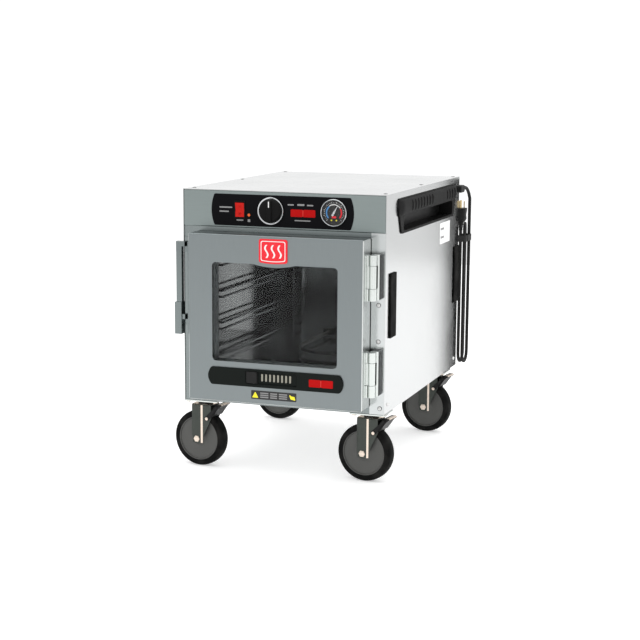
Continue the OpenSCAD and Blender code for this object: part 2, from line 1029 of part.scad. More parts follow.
module tyre(i) {
    w = wheel_w / 2;
    color("black")
        at_caster(i)
            translate([-caster_trail, 0, wheel_r])
                rotate([90, 0, 0])
                    rotate_extrude($fn = 96)
                        polygon([[hub_r, -w], [wheel_r - 4, -w], [wheel_r - 1.2, -w + 2.5],
                            [wheel_r, -w + 6], [wheel_r, w - 6], [wheel_r - 1.2, w - 2.5],
                            [wheel_r - 4, w], [hub_r, w]]);
}

// Brake pedal: two arms outside the fork, each on its own short pin, joined by the tread
// and the shoe
module brake(i) {
    outer = fork_gap + fork_t + 0.5;
    arm_t = 2;
    color("black")
        at_caster(i) {
            for (y = [-outer - arm_t, outer])
                on_front([y, y + arm_t])
                    polygon([[8, 108], [14, 106], [22, 112], [44, 138], [47, 146], [40, 147],
                        [28, 133], [10, 116]]);
            for (y = [-outer - 1, fork_gap])
                translate([brake_pivot[0], y + outer + 1 - fork_gap, brake_pivot[1]])
                    rotate([90, 0, 0])
                        cylinder(r = brake_pin_r, h = outer + 1 - fork_gap);
            on_front([-outer - arm_t, outer + arm_t])
                polygon([[36, 143], [44, 138], [52, 144], [50, 147], [39, 147]]);
            on_front([-outer - arm_t, outer + arm_t])
                polygon([[25, 119], [29, 117], [45, 139], [42, 140.5], [28, 123]]);
        }
}

// ---------------------------------------------------------------- nodes

base_pan();
left_side_panel();
right_side_panel();
top_panel();
back_panel();
front_frame();
control_fascia();
control_overlay();
cavity_liner();
insulation();
rack_uprights();
pan_slides();
heating_element();
thermostat_body();
thermostat_knob();
power_switch_case();
power_rocker();
pilot_light();
thermometer_case();
thermometer_needle();
side_handles();
side_bumpers();
body_screws();
strike_plate();
hinge_frame_leaves();
hinge_pins();
cord_gland();
cord_lead();
cord_hank();
cord_plug();
caster_plates();
door_skin();
door_back();
window_panes();
door_gasket();
vent_cover();
hinge_door_leaves();
latch_housing();
latch_lever();
vent_slider();
fork(0);  // front_left_fork
axle(0);  // front_left_axle
hub(0);  // front_left_hub
tyre(0);  // front_left_tyre
brake(0);  // front_left_brake
fork(1);  // front_right_fork
axle(1);  // front_right_axle
hub(1);  // front_right_hub
tyre(1);  // front_right_tyre
brake(1);  // front_right_brake
fork(2);  // rear_left_fork
axle(2);  // rear_left_axle
hub(2);  // rear_left_hub
tyre(2);  // rear_left_tyre
brake(2);  // rear_left_brake
fork(3);  // rear_right_fork
axle(3);  // rear_right_axle
hub(3);  // rear_right_hub
tyre(3);  // rear_right_tyre
brake(3);  // rear_right_brake
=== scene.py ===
"""Looks of the food holding cabinet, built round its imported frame."""
import json
import math

import bmesh
import bpy
from mathutils import Matrix, Vector
from mathutils.geometry import delaunay_2d_cdt


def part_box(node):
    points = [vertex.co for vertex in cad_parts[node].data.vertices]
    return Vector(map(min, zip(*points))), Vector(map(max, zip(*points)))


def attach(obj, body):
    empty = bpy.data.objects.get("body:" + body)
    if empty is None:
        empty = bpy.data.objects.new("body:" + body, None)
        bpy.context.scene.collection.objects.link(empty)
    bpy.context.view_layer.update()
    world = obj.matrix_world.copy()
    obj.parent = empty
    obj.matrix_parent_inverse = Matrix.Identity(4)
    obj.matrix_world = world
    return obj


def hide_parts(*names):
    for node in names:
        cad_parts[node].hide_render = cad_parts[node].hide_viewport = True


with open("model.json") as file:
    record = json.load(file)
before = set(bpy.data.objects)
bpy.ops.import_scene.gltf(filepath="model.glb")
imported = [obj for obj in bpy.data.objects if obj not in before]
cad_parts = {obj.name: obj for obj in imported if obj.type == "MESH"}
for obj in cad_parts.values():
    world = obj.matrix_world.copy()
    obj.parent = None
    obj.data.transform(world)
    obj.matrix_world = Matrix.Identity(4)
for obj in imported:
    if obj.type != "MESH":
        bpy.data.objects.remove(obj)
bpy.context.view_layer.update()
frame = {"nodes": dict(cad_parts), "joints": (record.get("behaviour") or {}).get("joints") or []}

# ---------- the cabinet's own frame

# Pieces are drawn in millimetres: x from the middle, y back from the fascia, z from the underside
MM = 0.001
TOP_LO, TOP_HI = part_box("top_panel")
ORIGIN = Vector(((TOP_LO.x + TOP_HI.x) / 2, TOP_LO.y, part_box("base_pan")[0].z))
CABINET = Matrix.Translation(ORIGIN) @ Matrix.Scale(MM, 4)


def span(node):
    """The range of a CAD node on each axis, in millimetres in the cabinet's frame."""
    lo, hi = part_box(node)
    return [((lo[i] - ORIGIN[i]) / MM, (hi[i] - ORIGIN[i]) / MM) for i in range(3)]


def middle(limits):
    return (limits[0] + limits[1]) / 2


HALF_W = span("top_panel")[0][1]
TOP_Z = span("top_panel")[2][1]
FACE_Y = span("control_overlay")[1][0]
DOOR_X, DOOR_Y, DOOR_Z = span("door_skin")

def linked(name, data):
    """A new object of some data, in the scene."""
    obj = bpy.data.objects.new(name, data)
    bpy.context.scene.collection.objects.link(obj)
    return obj


# ---------- outlines


def rect(u, v):
    return [(u[0], v[0]), (u[1], v[0]), (u[1], v[1]), (u[0], v[1])]


def grown(limits, by):
    return (limits[0] - by, limits[1] + by)


def rounded(corners, radius, steps=6):
    """A closed outline whose corners are arcs; radius is one value, or one for each corner."""
    radii = radius if isinstance(radius, list) else [radius] * len(corners)
    points = []
    for i, corner in enumerate(corners):
        p = Vector(corner)
        a = (Vector(corners[i - 1]) - p).normalized()
        b = (Vector(corners[(i + 1) % len(corners)]) - p).normalized()
        if radii[i] <= 0:
            points.append((p.x, p.y))
            continue
        half = a.angle(b) / 2
        centre = p + (a + b).normalized() * radii[i] / math.sin(half)
        arm = p + a * radii[i] / math.tan(half) - centre
        turn = (math.pi - 2 * half) * (1 if a.x * b.y - a.y * b.x < 0 else -1)
        for k in range(steps + 1):
            c, s = math.cos(turn * k / steps), math.sin(turn * k / steps)
            points.append((centre.x + arm.x * c - arm.y * s, centre.y + arm.x * s + arm.y * c))
    return points


def bulged(u, v, bulge, corner, steps=10):
    """A strip whose two short ends bulge outwards in a shallow arc."""
    mid, half = middle(v), (v[1] - v[0]) / 2
    heights = [v[0] + 2 * half * k / steps for k in range(steps + 1)]
    reach = [bulge * (1 - ((h - mid) / half) ** 2) for h in heights]
    right = [(u[1] + r, h) for r, h in zip(reach, heights)]
    left = [(u[0] - r, h) for r, h in zip(reach, heights)]
    radii = [corner if k in (0, steps) else 0 for k in range(steps + 1)]
    return rounded(right + left[::-1], radii + radii[::-1])


def circle(centre, r, steps=48):
    angles = [2 * math.pi * k / steps for k in range(steps)]
    return [(centre[0] + r * math.cos(a), centre[1] + r * math.sin(a)) for a in angles]


def area(outline):
    pairs = zip(outline, outline[1:] + outline[:1])
    return sum(a[0] * b[1] - b[0] * a[1] for a, b in pairs) / 2


def placed(u, v, w, axis="y"):
    """A point of an outline, with w along the axis that the outline is extruded on."""
    return {"x": (w, u, v), "y": (u, w, v), "z": (u, v, w)}[axis]


def ring_at(outline, w, axis="y"):
    return [placed(u, v, w, axis) for u, v in outline]


# ---------- shapes

HOLES_LEFT_OUT = 5


class Shape:
    """The geometry of one piece, in millimetres."""

    def __init__(self):
        self.bm = bmesh.new()

    def mesh(self, points, faces, material=0):
        verts = [self.bm.verts.new(p) for p in points]
        for face in faces:
            self.bm.faces.new([verts[i] for i in face]).material_index = material
        return self

    def block(self, x, y, z, material=0):
        points = [(a, b, c) for a in x for b in y for c in z]
        quads = [(0, 1, 3, 2), (4, 6, 7, 5), (0, 4, 5, 1), (2, 3, 7, 6), (0, 2, 6, 4), (1, 5, 7, 3)]
        return self.mesh(points, quads, material)

    def prism(self, outline, limits, axis="y", material=0):
        n = len(outline)
        points = ring_at(outline, limits[0], axis) + ring_at(outline, limits[1], axis)
        sides = [(i, (i + 1) % n, n + (i + 1) % n, n + i) for i in range(n)]
        return self.mesh(points, [tuple(range(n)), tuple(range(n, 2 * n))] + sides, material)

    def loft(self, rings, material=0, ends=True):
        """A skin over rings of points; ends closes the first and the last of them."""
        n = len(rings[0])
        points = [p for ring in rings for p in ring]
        faces = []
        for k in range(len(rings) - 1):
            for i in range(n):
                j = (i + 1) % n
                faces.append((k * n + i, k * n + j, (k + 1) * n + j, (k + 1) * n + i))
        if ends:
            faces.append(tuple(range(n)))
            faces.append(tuple(range((len(rings) - 1) * n, len(rings) * n)))
        return self.mesh(points, faces, material)

    def lathe(self, profile, centre, axis="y", material=0, steps=64, hollow=False):
        """A profile of (radius, place along the axis) turned about the axis at centre.

        A hollow one has a closed profile, so that the middle stays open.
        """
        rings = [ring_at(circle(centre, max(r, 0.01), steps), w, axis) for r, w in profile]
        if not hollow:
            return self.loft(rings, material)
        part = Shape().loft(rings + rings[:1], material, ends=False)
        return self.joined(part.weld(0.0005))

    def plate(self, outlines, limits, axis="y", bevel=0.0, material=0):
        """A flat plate: the first outline is its edge and the others are holes through it."""
        curve = bpy.data.curves.new("plate", "CURVE")
        curve.dimensions = "2D"
        curve.fill_mode = "BOTH"
        curve.extrude = (limits[1] - limits[0]) / 2 - bevel
        curve.bevel_depth = bevel
        curve.bevel_resolution = 2
        curve.offset = -bevel
        for i, outline in enumerate(outlines):
            turned = (area(outline) > 0) != (i == 0)
            spline = curve.splines.new("POLY")
            spline.points.add(len(outline) - 1)
            for point, (u, v) in zip(spline.points, outline[::-1] if turned else outline):
                point.co = (u, v, 0, 1)
            spline.use_cyclic_u = True
        holder = linked("plate", curve)
        shown = holder.evaluated_get(bpy.context.evaluated_depsgraph_get())
        mesh = bpy.data.meshes.new_from_object(shown)
        part = Shape()
        points = [placed(p.co.x, p.co.y, middle(limits) + p.co.z, axis) for p in mesh.vertices]
        part.mesh(points, [tuple(f.vertices) for f in mesh.polygons], material)
        part.weld(0.01)
        bpy.data.objects.remove(holder)
        bpy.data.curves.remove(curve)
        bpy.data.meshes.remove(mesh)
        return self.joined(part)

    def pan(self, rings, holes, depth):
        """An open pan: rings of outline points from its face to its rim, and holes in the face."""
        part = Shape().loft(rings, ends=False)
        face_at = rings[0][0][1]
        corners, loops = [], []
        for outline in [[(x, z) for x, _, z in rings[0]]] + holes:
            loops.append(list(range(len(corners), len(corners) + len(outline))))
            corners += [Vector(p) for p in outline]
        filled_in = delaunay_2d_cdt(corners, [], loops, HOLES_LEFT_OUT, 0.001)
        part.mesh(ring_at(filled_in[0], face_at), filled_in[2])
        for hole in holes:
            part.loft([ring_at(hole, face_at + d) for d in (0, depth)], ends=False)
        return self.joined(part.weld(0.005))

    def weld(self, distance):
        bmesh.ops.remove_doubles(self.bm, verts=self.bm.verts, dist=distance)
        return self

    def joined(self, other):
        mesh = bpy.data.meshes.new("part")
        other.bm.to_mesh(mesh)
        self.bm.from_mesh(mesh)
        other.bm.free()
        bpy.data.meshes.remove(mesh)
        return self

    def both_sides(self):
        """Adds the mirror image across the middle of the cabinet."""
        made = bmesh.ops.duplicate(self.bm, geom=self.bm.verts[:] + self.bm.edges[:] + self.bm.faces[:])
        for item in made["geom"]:
            if isinstance(item, bmesh.types.BMVert):
                item.co.x = -item.co.x
        return self

    def cut(self, at, axis):
        """Splits the faces where they cross a plane."""
        normal = [float(axis == a) for a in "xyz"]
        every = self.bm.verts[:] + self.bm.edges[:] + self.bm.faces[:]
        bmesh.ops.bisect_plane(self.bm, geom=every, plane_co=[at * n for n in normal], plane_no=normal)
        return self

    def paint(self, material, normal, least=0.7, beyond=-1000):
        """Gives a material to the faces that look along a direction, from a depth backwards."""
        bmesh.ops.recalc_face_normals(self.bm, faces=self.bm.faces)
        for face in self.bm.faces:
            if face.normal.dot(Vector(normal)) > least and face.calc_center_median().y > beyond:
                face.material_index = material
        return self


def packed(node):
    """The shape of a CAD node, with its flat faces whole again."""
    shape = Shape()
    shape.bm.from_mesh(frame["nodes"][node].data)
    shape.bm.transform(CABINET.inverted())
    for face in shape.bm.faces:
        face.material_index = 0
    shape.weld(0.002)
    flat = math.radians(0.3)
    bmesh.ops.dissolve_limit(shape.bm, angle_limit=flat, verts=shape.bm.verts, edges=shape.bm.edges)
    return shape


def sharp_edges(bm, degrees):
    limit = math.radians(degrees)
    return [e for e in bm.edges if len(e.link_faces) == 2 and e.calc_face_angle() > limit]


def piece(shape, name, body, materials, replaces=(), bevel=0.0, steps=2, where=CABINET,
          solid=0.0):
    """Makes an object of a shape, rounds its edges, and puts it on its body.
    """
    bm = shape.bm
    bmesh.ops.recalc_face_normals(bm, faces=bm.faces)
    if bevel:
        bmesh.ops.bevel(bm, geom=sharp_edges(bm, 35), offset=bevel, segments=steps, profile=0.5,
                        affect="EDGES", clamp_overlap=True)
    for face in bm.faces:
        face.smooth = True
    for edge in sharp_edges(bm, 50):
        edge.smooth = False
    bm.transform(where)
    mesh = bpy.data.meshes.new(name)
    bm.to_mesh(mesh)
    bm.free()
    obj = linked(name, mesh)
    for material in materials:
        mesh.materials.append(material)
    if solid:
        thick = obj.modifiers.new("thickness", "SOLIDIFY")
        thick.thickness = solid * MM
        thick.offset = -1
    obj.modifiers.new("normals", "WEIGHTED_NORMAL").keep_sharp = True
    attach(obj, body)
    if replaces:
        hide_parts(*replaces)
    return obj


# ---------- materials


class Surface:
    """A material whose colour, roughness and relief come from layers of noise."""

    def __init__(self, name, color, roughness, metallic=0.0, **sockets):
        self.material = bpy.data.materials.new(name)
        self.material.use_nodes = True
        self.tree = self.material.node_tree
        self.shader = self.tree.nodes["Principled BSDF"]
        self.place = self.tree.nodes.new("ShaderNodeTexCoord").outputs["Object"]
        self.roughness = roughness
        self.shader.inputs["Metallic"].default_value = metallic
        for socket, value in sockets.items():
            self.shader.inputs[socket.replace("_", " ")].default_value = value
        self.color = self.add("ShaderNodeRGB").outputs[0]
        self.color.default_value = (*color, 1)
        self.rough = None
        self.height = None

    def add(self, kind, inputs=None, **values):
        """A node with its values, whose inputs are set to a number or linked to an output."""
        node = self.tree.nodes.new(kind)
        for name, value in values.items():
            setattr(node, name, value)
        for socket, value in (inputs or {}).items():
            if isinstance(value, bpy.types.NodeSocket):
                self.link(value, node, socket)
            else:
                node.inputs[socket].default_value = value
        return node

    def link(self, output, node, socket):
        self.tree.links.new(output, node.inputs[socket])

    def math(self, operation, a, b):
        return self.add("ShaderNodeMath", {0: a, 1: b}, operation=operation).outputs[0]

    def noise(self, scale, detail=3.0, stretch=(1, 1, 1)):
        mapping = self.add("ShaderNodeMapping", {"Vector": self.place, "Scale": stretch})
        inputs = {"Scale": scale, "Detail": detail, "Vector": mapping.outputs[0]}
        return self.add("ShaderNodeTexNoise", inputs).outputs["Fac"]

    def spread(self, value, low, high):
        """Stretches a noise to run from low to high."""
        inputs = {"From Min": 0.3, "From Max": 0.7, "To Min": low, "To Max": high, "Value": value}
        return self.add("ShaderNodeMapRange", inputs).outputs[0]

    def tone(self, factor):
        """Multiplies the colour by a factor."""
        inputs = {0: self.color, "Scale": factor}
        self.color = self.add("ShaderNodeVectorMath", inputs, operation="SCALE").outputs[0]

    def mix(self, factor, color):
        inputs = {"Factor": factor, 6: self.color, 7: (*color, 1)}
        self.color = self.add("ShaderNodeMix", inputs, data_type="RGBA").outputs[2]

    def layer(self, scale, tone=0.0, rough=0.0, relief=0.0, detail=3.0, stretch=(1, 1, 1)):
        """One noise that varies the tone, the roughness and the relief."""
        noise = self.noise(scale, detail, stretch)
        if tone:
            self.tone(self.spread(noise, 1 - tone, 1 + tone))
        if rough:
            change = self.spread(noise, -rough, rough)
            self.rough = change if self.rough is None else self.math("ADD", self.rough, change)
        if relief:
            part = self.math("MULTIPLY", noise, relief)
            self.height = part if self.height is None else self.math("ADD", self.height, part)
        return self

    def done(self):
        self.link(self.color, self.shader, "Base Color")
        if self.rough is None:
            self.shader.inputs["Roughness"].default_value = self.roughness
        else:
            self.link(self.math("ADD", self.rough, self.roughness), self.shader, "Roughness")
        if self.height is not None:
            bump = self.add("ShaderNodeBump", {"Strength": 1.0, "Distance": MM, "Height": self.height})
            self.link(bump.outputs[0], self.shader, "Normal")
        return self.material


# Share of the light that a plastic mirrors
MATT = 0.04
SATIN = 0.16
GLOSSY = 0.5


def brushed_steel(name, color, roughness, along):
    """Stainless sheet with a fine grain along one axis and faint smudges."""
    stretch = [1.0 if axis == along else 40.0 for axis in "xyz"]
    made = Surface(name, color, roughness, metallic=1.0)
    made.layer(30, tone=0.03, rough=0.04, relief=0.012, detail=4, stretch=stretch)
    made.layer(5, tone=0.02, rough=0.03)
    return made.done()


def streaked_steel(name, color, roughness):
    """Smooth sheet with broad upright streaks."""
    made = Surface(name, color, roughness, metallic=1.0)
    made.layer(70, tone=0.16, rough=0.02, detail=1, stretch=(1, 1, 0.03))
    return made.done()


def polished_steel(name, color, roughness):
    made = Surface(name, color, roughness, metallic=1.0)
    made.layer(8, tone=0.03, rough=0.03)
    made.layer(260, tone=0.015, rough=0.02, relief=0.002)
    return made.done()


def moulded_plastic(name, color, roughness, gloss=GLOSSY, grain=0.02):
    """Plastic with the fine grain of its mould."""
    made = Surface(name, color, roughness, Specular_IOR_Level=gloss)
    made.layer(900, tone=0.06, rough=0.05, relief=grain, detail=2)
    made.layer(14, tone=0.05, rough=0.04)
    return made.done()


def rubber(name, color, roughness):
    """Rubber, a little paler where dust lies on it."""
    made = Surface(name, color, roughness, Specular_IOR_Level=MATT)
    made.layer(600, tone=0.12, rough=0.05, relief=0.03)
    dust = made.spread(made.noise(35, 5), -0.1, 0.2)
    made.mix(made.math("MAXIMUM", dust, 0.0), (0.06, 0.058, 0.054))
    return made.done()


def cast_metal(name, color, roughness, metallic=1.0):
    """Plated or cast metal with a mottled surface."""
    made = Surface(name, color, roughness, metallic=metallic)
    made.layer(220, tone=0.06, rough=0.06, relief=0.012)
    made.layer(25, tone=0.05, rough=0.04)
    return made.done()


def print_ink(name, color, roughness=0.4):
    made = Surface(name, color, roughness)
    made.layer(1200, tone=0.03, rough=0.04, relief=0.003)
    return made.done()


def wool(name, color):
    made = Surface(name, color, 0.95)
    made.layer(300, tone=0.25, relief=0.4, detail=6)
    return made.done()


def window_glass(name, tint, gloss):
    """Tinted glass: it lets a share of the light through and mirrors the rest."""
    made = Surface(name, (0.9, 0.9, 0.9), 0.02, metallic=1.0)
    made.layer(4, tone=0.02, rough=0.008)
    surface = made.done()
    clear = made.add("ShaderNodeBsdfTransparent", {"Color": (*tint, 1)})
    mirror = made.add("ShaderNodeLayerWeight", {"Blend": gloss})
    mix = made.add("ShaderNodeMixShader", {0: mirror.outputs["Fresnel"], 1: clear.outputs[0],
                                           2: made.shader.outputs[0]})
    made.link(mix.outputs[0], made.tree.nodes["Material Output"], "Surface")
    return surface


PANEL = brushed_steel("panel_steel", (0.51, 0.52, 0.52), 0.18, "y")
BACK = brushed_steel("back_steel", (0.62, 0.63, 0.63), 0.38, "z")
DOOR = brushed_steel("door_steel", (0.203, 0.226, 0.230), 0.36, "z")
# A paler copy of the door steel for the door pan's sides and underside: a painted highlight.
DOOR_EDGE_PAINTED_HIGHLIGHT = brushed_steel("door_edge_painted_highlight", (0.62, 0.64, 0.63), 0.3, "z")
FASCIA = brushed_steel("fascia_steel", (0.224, 0.258, 0.254), 0.36, "x")
INNER = brushed_steel("inner_steel", (0.48, 0.49, 0.49), 0.32, "z")
LINER = streaked_steel("liner_steel", (0.32, 0.32, 0.32), 0.12)
POLISHED = polished_steel("polished_steel", (0.50, 0.52, 0.52), 0.16)
JAMB = polished_steel("jamb_steel", (0.21, 0.235, 0.235), 0.24)
HINGE = polished_steel("hinge_steel", (0.60, 0.63, 0.61), 0.24)
LOUVRE_STEEL = polished_steel("louvre_steel", (0.26, 0.25, 0.21), 0.3)
# Near-black metal for the hinge leaves' rear right and top faces: painted shade.
HINGE_PAINTED_SHADE = cast_metal("hinge_painted_shade", (0.03, 0.03, 0.032), 0.4)
LATCH = polished_steel("latch_steel", (0.18, 0.205, 0.205), 0.2)
WIRE = polished_steel("rack_wire", (0.32, 0.32, 0.33), 0.22)
# Near-black for the top screw heads and the discs under the frame screws: painted shade.
SCREW_PAINTED_SHADE = cast_metal("screw_steel", (0.012, 0.012, 0.012), 0.5, metallic=0.0)
CHROME = polished_steel("gauge_chrome", (0.52, 0.53, 0.54), 0.18)
# Cream zinc for the bolts, axles and brake parts, whose warm tint is a painted reflection; on the forks'
# tops and steps it is a painted highlight.
ZINC_AND_PAINTED_HIGHLIGHT = cast_metal("axle_zinc", (0.72, 0.62, 0.53), 0.32)
FORK = cast_metal("fork_steel", (0.06, 0.066, 0.06), 0.42)
PLATE_BLACK = cast_metal("caster_plate_black", (0.03, 0.028, 0.026), 0.5)
ELEMENT = cast_metal("element_dark", (0.09, 0.085, 0.08), 0.5)
BRASS = cast_metal("blade_brass", (0.55, 0.42, 0.2), 0.3)
OVERLAY = moulded_plastic("overlay_black", (0.004, 0.004, 0.005), 0.3, MATT, 0.003)
VENT = moulded_plastic("vent_black", (0.009, 0.011, 0.010), 0.32, MATT, 0.006)
TAB = moulded_plastic("vent_tab", (0.022, 0.022, 0.022), 0.4, MATT)
KNOB = moulded_plastic("knob_black", (0.008, 0.008, 0.008), 0.38, MATT)
GRIP = moulded_plastic("grip_black", (0.014, 0.014, 0.014), 0.55, MATT, 0.03)
SWITCH = moulded_plastic("switch_black", (0.01, 0.01, 0.01), 0.35, MATT)
IVORY = moulded_plastic("thermostat_white", (0.6, 0.58, 0.5), 0.5)
BRAKE = moulded_plastic("brake_black", (0.008, 0.008, 0.008), 0.42, SATIN)
HUB = moulded_plastic("hub_grey", (0.06, 0.06, 0.056), 0.5, grain=0.03)
GLAND = moulded_plastic("gland_black", (0.008, 0.008, 0.008), 0.45, SATIN)
PLUG = moulded_plastic("plug_black", (0.010, 0.010, 0.010), 0.45, SATIN)
CORD = moulded_plastic("cord_black", (0.010, 0.010, 0.010), 0.5, SATIN, 0.015)
ROCKER = moulded_plastic("rocker_red", (0.50, 0.016, 0.012), 0.35, MATT, 0.004)
READOUT = moulded_plastic("readout_red", (0.42, 0.006, 0.006), 0.2, MATT, 0.002)
READOUT_LINE = moulded_plastic("readout_line", (0.62, 0.05, 0.04), 0.25, MATT, 0.002)
AMBER = moulded_plastic("pilot_amber", (0.75, 0.11, 0.005), 0.3, grain=0.002)
TYRE = rubber("tyre_black", (0.005, 0.005, 0.005), 0.6)
SEAL = rubber("gasket_black", (0.011, 0.011, 0.011), 0.6)
BUMPER = rubber("bumper_black", (0.004, 0.004, 0.004), 0.7)
STRAP = wool("strap_black", (0.02, 0.02, 0.02))
WOOL = wool("insulation_wool", (0.72, 0.62, 0.3))
GLASS = window_glass("glass_tinted", (0.84, 0.85, 0.85), 0.14)
LENS = window_glass("lens_clear", (0.98, 0.98, 0.98), 0.03)
# White print ink, also put on the side and frame screw heads as a painted highlight.
INK_WHITE_AND_PAINTED_HIGHLIGHT = print_ink("ink_white_and_painted_highlight", (0.75, 0.75, 0.74))
INK_GREY = print_ink("ink_grey", (0.22, 0.22, 0.22))
INK_RED = print_ink("ink_red", (0.72, 0.0, 0.012), 0.3)
INK_BLUE = print_ink("ink_blue", (0.05, 0.22, 0.5))
INK_YELLOW = print_ink("ink_yellow", (0.80, 0.72, 0.01))
INK_BLACK = print_ink("ink_black", (0.006, 0.006, 0.006))
PAPER = print_ink("label_paper", (0.86, 0.86, 0.86), 0.6)

# ---------- camera


def make_camera():
    right = Vector((0.9443, 0.3290, 0.0063))
    up = Vector((-0.0601, 0.1535, 0.9863))
    back = right.cross(up)
    data = bpy.data.cameras.new("camera")
    data.sensor_width = 36
    data.lens = 86.4
    data.shift_x = 0.00124
    data.shift_y = 0.0082
    camera = linked("camera", data)
    camera.matrix_world = Matrix((
        (right.x, up.x, back.x, 1.1665),
        (right.y, up.y, back.y, -3.3626),
        (right.z, up.z, back.z, 0.8870),
        (0, 0, 0, 1),
    ))
    bpy.context.scene.camera = camera


make_camera()

# ---------- cord

CORD_D = 8
# Route of the cord from its strain relief to the top of the hank, on the floor's frame
CORD_ROUTE = [
    (252, 364, 598), (252, 371, 598), (252, 378, 597), (253, 386, 594), (254, 392, 589),
    (255, 397, 583), (256, 400, 576), (257, 402, 568), (257, 402, 556), (257, 402, 544),
    (257, 402, 532), (257, 402, 520), (257, 402, 508), (257, 402, 496), (257, 402, 486),
]
HANK_X = (247, 257)
HANK_Y = 378
FOLD_R = 24
FOLD_Z = (182, 484)
PLUG_AT = (247, 354)
PLUG_Z = 492


def curved(points, steps=4):
    """A smooth line through points."""
    ends = [points[0]] + points + [points[-1]]
    line = []
    for i in range(1, len(ends) - 2):
        a, b, c, d = (Vector(ends[i + k]) for k in (-1, 0, 1, 2))
        for k in range(steps):
            t = k / steps
            line.append(0.5 * (2 * b + (c - a) * t + (2 * a - 5 * b + 4 * c - d) * t ** 2
                               + (3 * b - a - 3 * c + d) * t ** 3))
    return line + [Vector(points[-1])]


def fold(z, x, start, steps=14):
    """A half turn of the hank about a height, from the side at start to the other side."""
    outwards = -1 if z == FOLD_Z[0] else 1
    points = []
    for k in range(steps + 1):
        a = math.pi * k / steps
        across = x[0] + (x[1] - x[0]) * (1 - math.cos(a)) / 2
        points.append((across, HANK_Y + start * FOLD_R * math.cos(a), z + outwards * FOLD_R * math.sin(a)))
    return points


def cord_points():
    low, high = FOLD_Z
    inner, outer = HANK_X
    turns = fold(low, (outer, outer), 1)
    turns += fold(high, (outer, inner), -1)
    turns += fold(low, (inner, inner), 1)
    end = (PLUG_AT[0], PLUG_AT[1], PLUG_Z + 10)
    return [Vector(p) for p in curved(CORD_ROUTE) + turns + [end]]


def filled(points, longest=12):
    """The same line, with points added along its straight stretches."""
    line = [points[0]]
    for a, b in zip(points, points[1:]):
        parts = max(1, math.ceil((b - a).length / longest))
        line += [a.lerp(b, k / parts) for k in range(1, parts + 1)]
    return line


def make_cord():
    curve = bpy.data.curves.new("mains_cord", "CURVE")
    curve.dimensions = "3D"
    curve.bevel_depth = CORD_D / 2 * MM
    curve.bevel_resolution = 5
    curve.use_fill_caps = True
    line = filled(cord_points())
    spline = curve.splines.new("POLY")
    spline.points.add(len(line) - 1)
    for point, place in zip(spline.points, line):
        point.co = (*(place * MM), 1)
    curve.materials.append(CORD)
    cord = linked("mains_cord", curve)
    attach(cord, "cabinet")
    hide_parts("cord_lead", "cord_hank")
    return cord


def make_gland():
    """Elbow on the side panel, and a ribbed relief that tapers along the cord."""
    x, y, z = span("cord_gland")
    at = (middle(x), middle(z))
    shape = Shape().plate([rounded(rect((y[0], y[1] - 22), z), 6)], x, "x", bevel=2.5)
    profile = [(2, y[1] - 26)]
    for k in range(6):
        start = y[1] - 24 + 4 * k
        r = 6.5 - 0.28 * k
        profile += [(r, start), (r, start + 2.4), (r - 0.9, start + 2.8), (r - 0.9, start + 3.6)]
    profile[-1] = (CORD_D / 2, y[1])
    shape.lathe(profile, at, steps=32)
    return piece(shape, "cord_gland_elbow", "cabinet", [GLAND], ["cord_gland"])


def make_plug():
    """A moulded plug: ribbed relief, body with finger grooves, face and three blades."""
    place = Matrix.Translation(Vector((PLUG_AT[0], PLUG_AT[1], 0)) * MM) @ Matrix.Scale(MM, 4)
    shape = Shape()
    profile = [(CORD_D / 2, PLUG_Z)]
    for k in range(5):
        start = PLUG_Z + 1 + 4.2 * k
        r = 4.8 + 0.5 * k
        profile += [(r, start), (r, start + 2.6), (r - 0.9, start + 3), (r - 0.9, start + 3.8)]
    shape.lathe(profile + [(4, PLUG_Z + 24)], (0, 0), "z", steps=32)
    rings = []
    swells = [(513, 7, 7), (516, 10, 9), (521, 12.4, 11.5), (526, 12, 11), (530, 11.4, 10.6),
              (535, 12, 11.2), (541, 12.8, 12), (546.5, 13, 12.6), (548, 12.4, 12)]
    for z, half_x, half_y in swells:
        outline = rounded(rect((-half_x, half_x), (3 - half_y, 3 + half_y)), min(half_x, half_y) * 0.45)
        rings.append(ring_at(outline, z, "z"))
    shape.loft(rings)
    body = piece(shape, "mains_plug_body", "cabinet", [PLUG], ["cord_plug"], where=place)
    blades = Shape()
    for x in (-6.35, 6.35):
        outline = rounded(rect((3, 9.3), (546, 565)), [0, 0, 2, 2], 3)
        blades.prism(outline, (x - 0.75, x + 0.75), "x")
    blades.lathe([(2.4, 546), (2.4, 566), (1.8, 567.6), (0.6, 568)], (0, -3), "z", steps=24)
    piece(blades, "mains_plug_blades", "cabinet", [BRASS], bevel=0.2, where=place)
    return body


def make_tie():
    """A fabric strap round the hank, with its lapped end."""
    z = (464, 480)
    around = grown(HANK_X, CORD_D / 2 + 1.8), (HANK_Y - FOLD_R - 6, HANK_Y + FOLD_R + 6)
    inside = [grown(limits, -1.4) for limits in around]
    shape = Shape().plate([rounded(rect(*around), 6), rounded(rect(*inside), 4.6)], z, "z", bevel=0.4)
    lap = [(around[0][1] - 0.4, HANK_Y - 16), (around[0][1] + 1.2, HANK_Y - 16),
           (around[0][1] + 1.2, HANK_Y + 12), (around[0][1] - 0.4, HANK_Y + 14)]
    shape.prism(lap, (z[0] + 1, z[1] - 1), "z")
    return piece(shape, "cord_tie_strap", "cabinet", [STRAP],
                 where=Matrix.Scale(MM, 4))


cord = make_cord()
cord_pieces = [make_plug(), make_tie(), make_gland(), bpy.data.objects["mains_plug_blades"]]

# ---------- shell

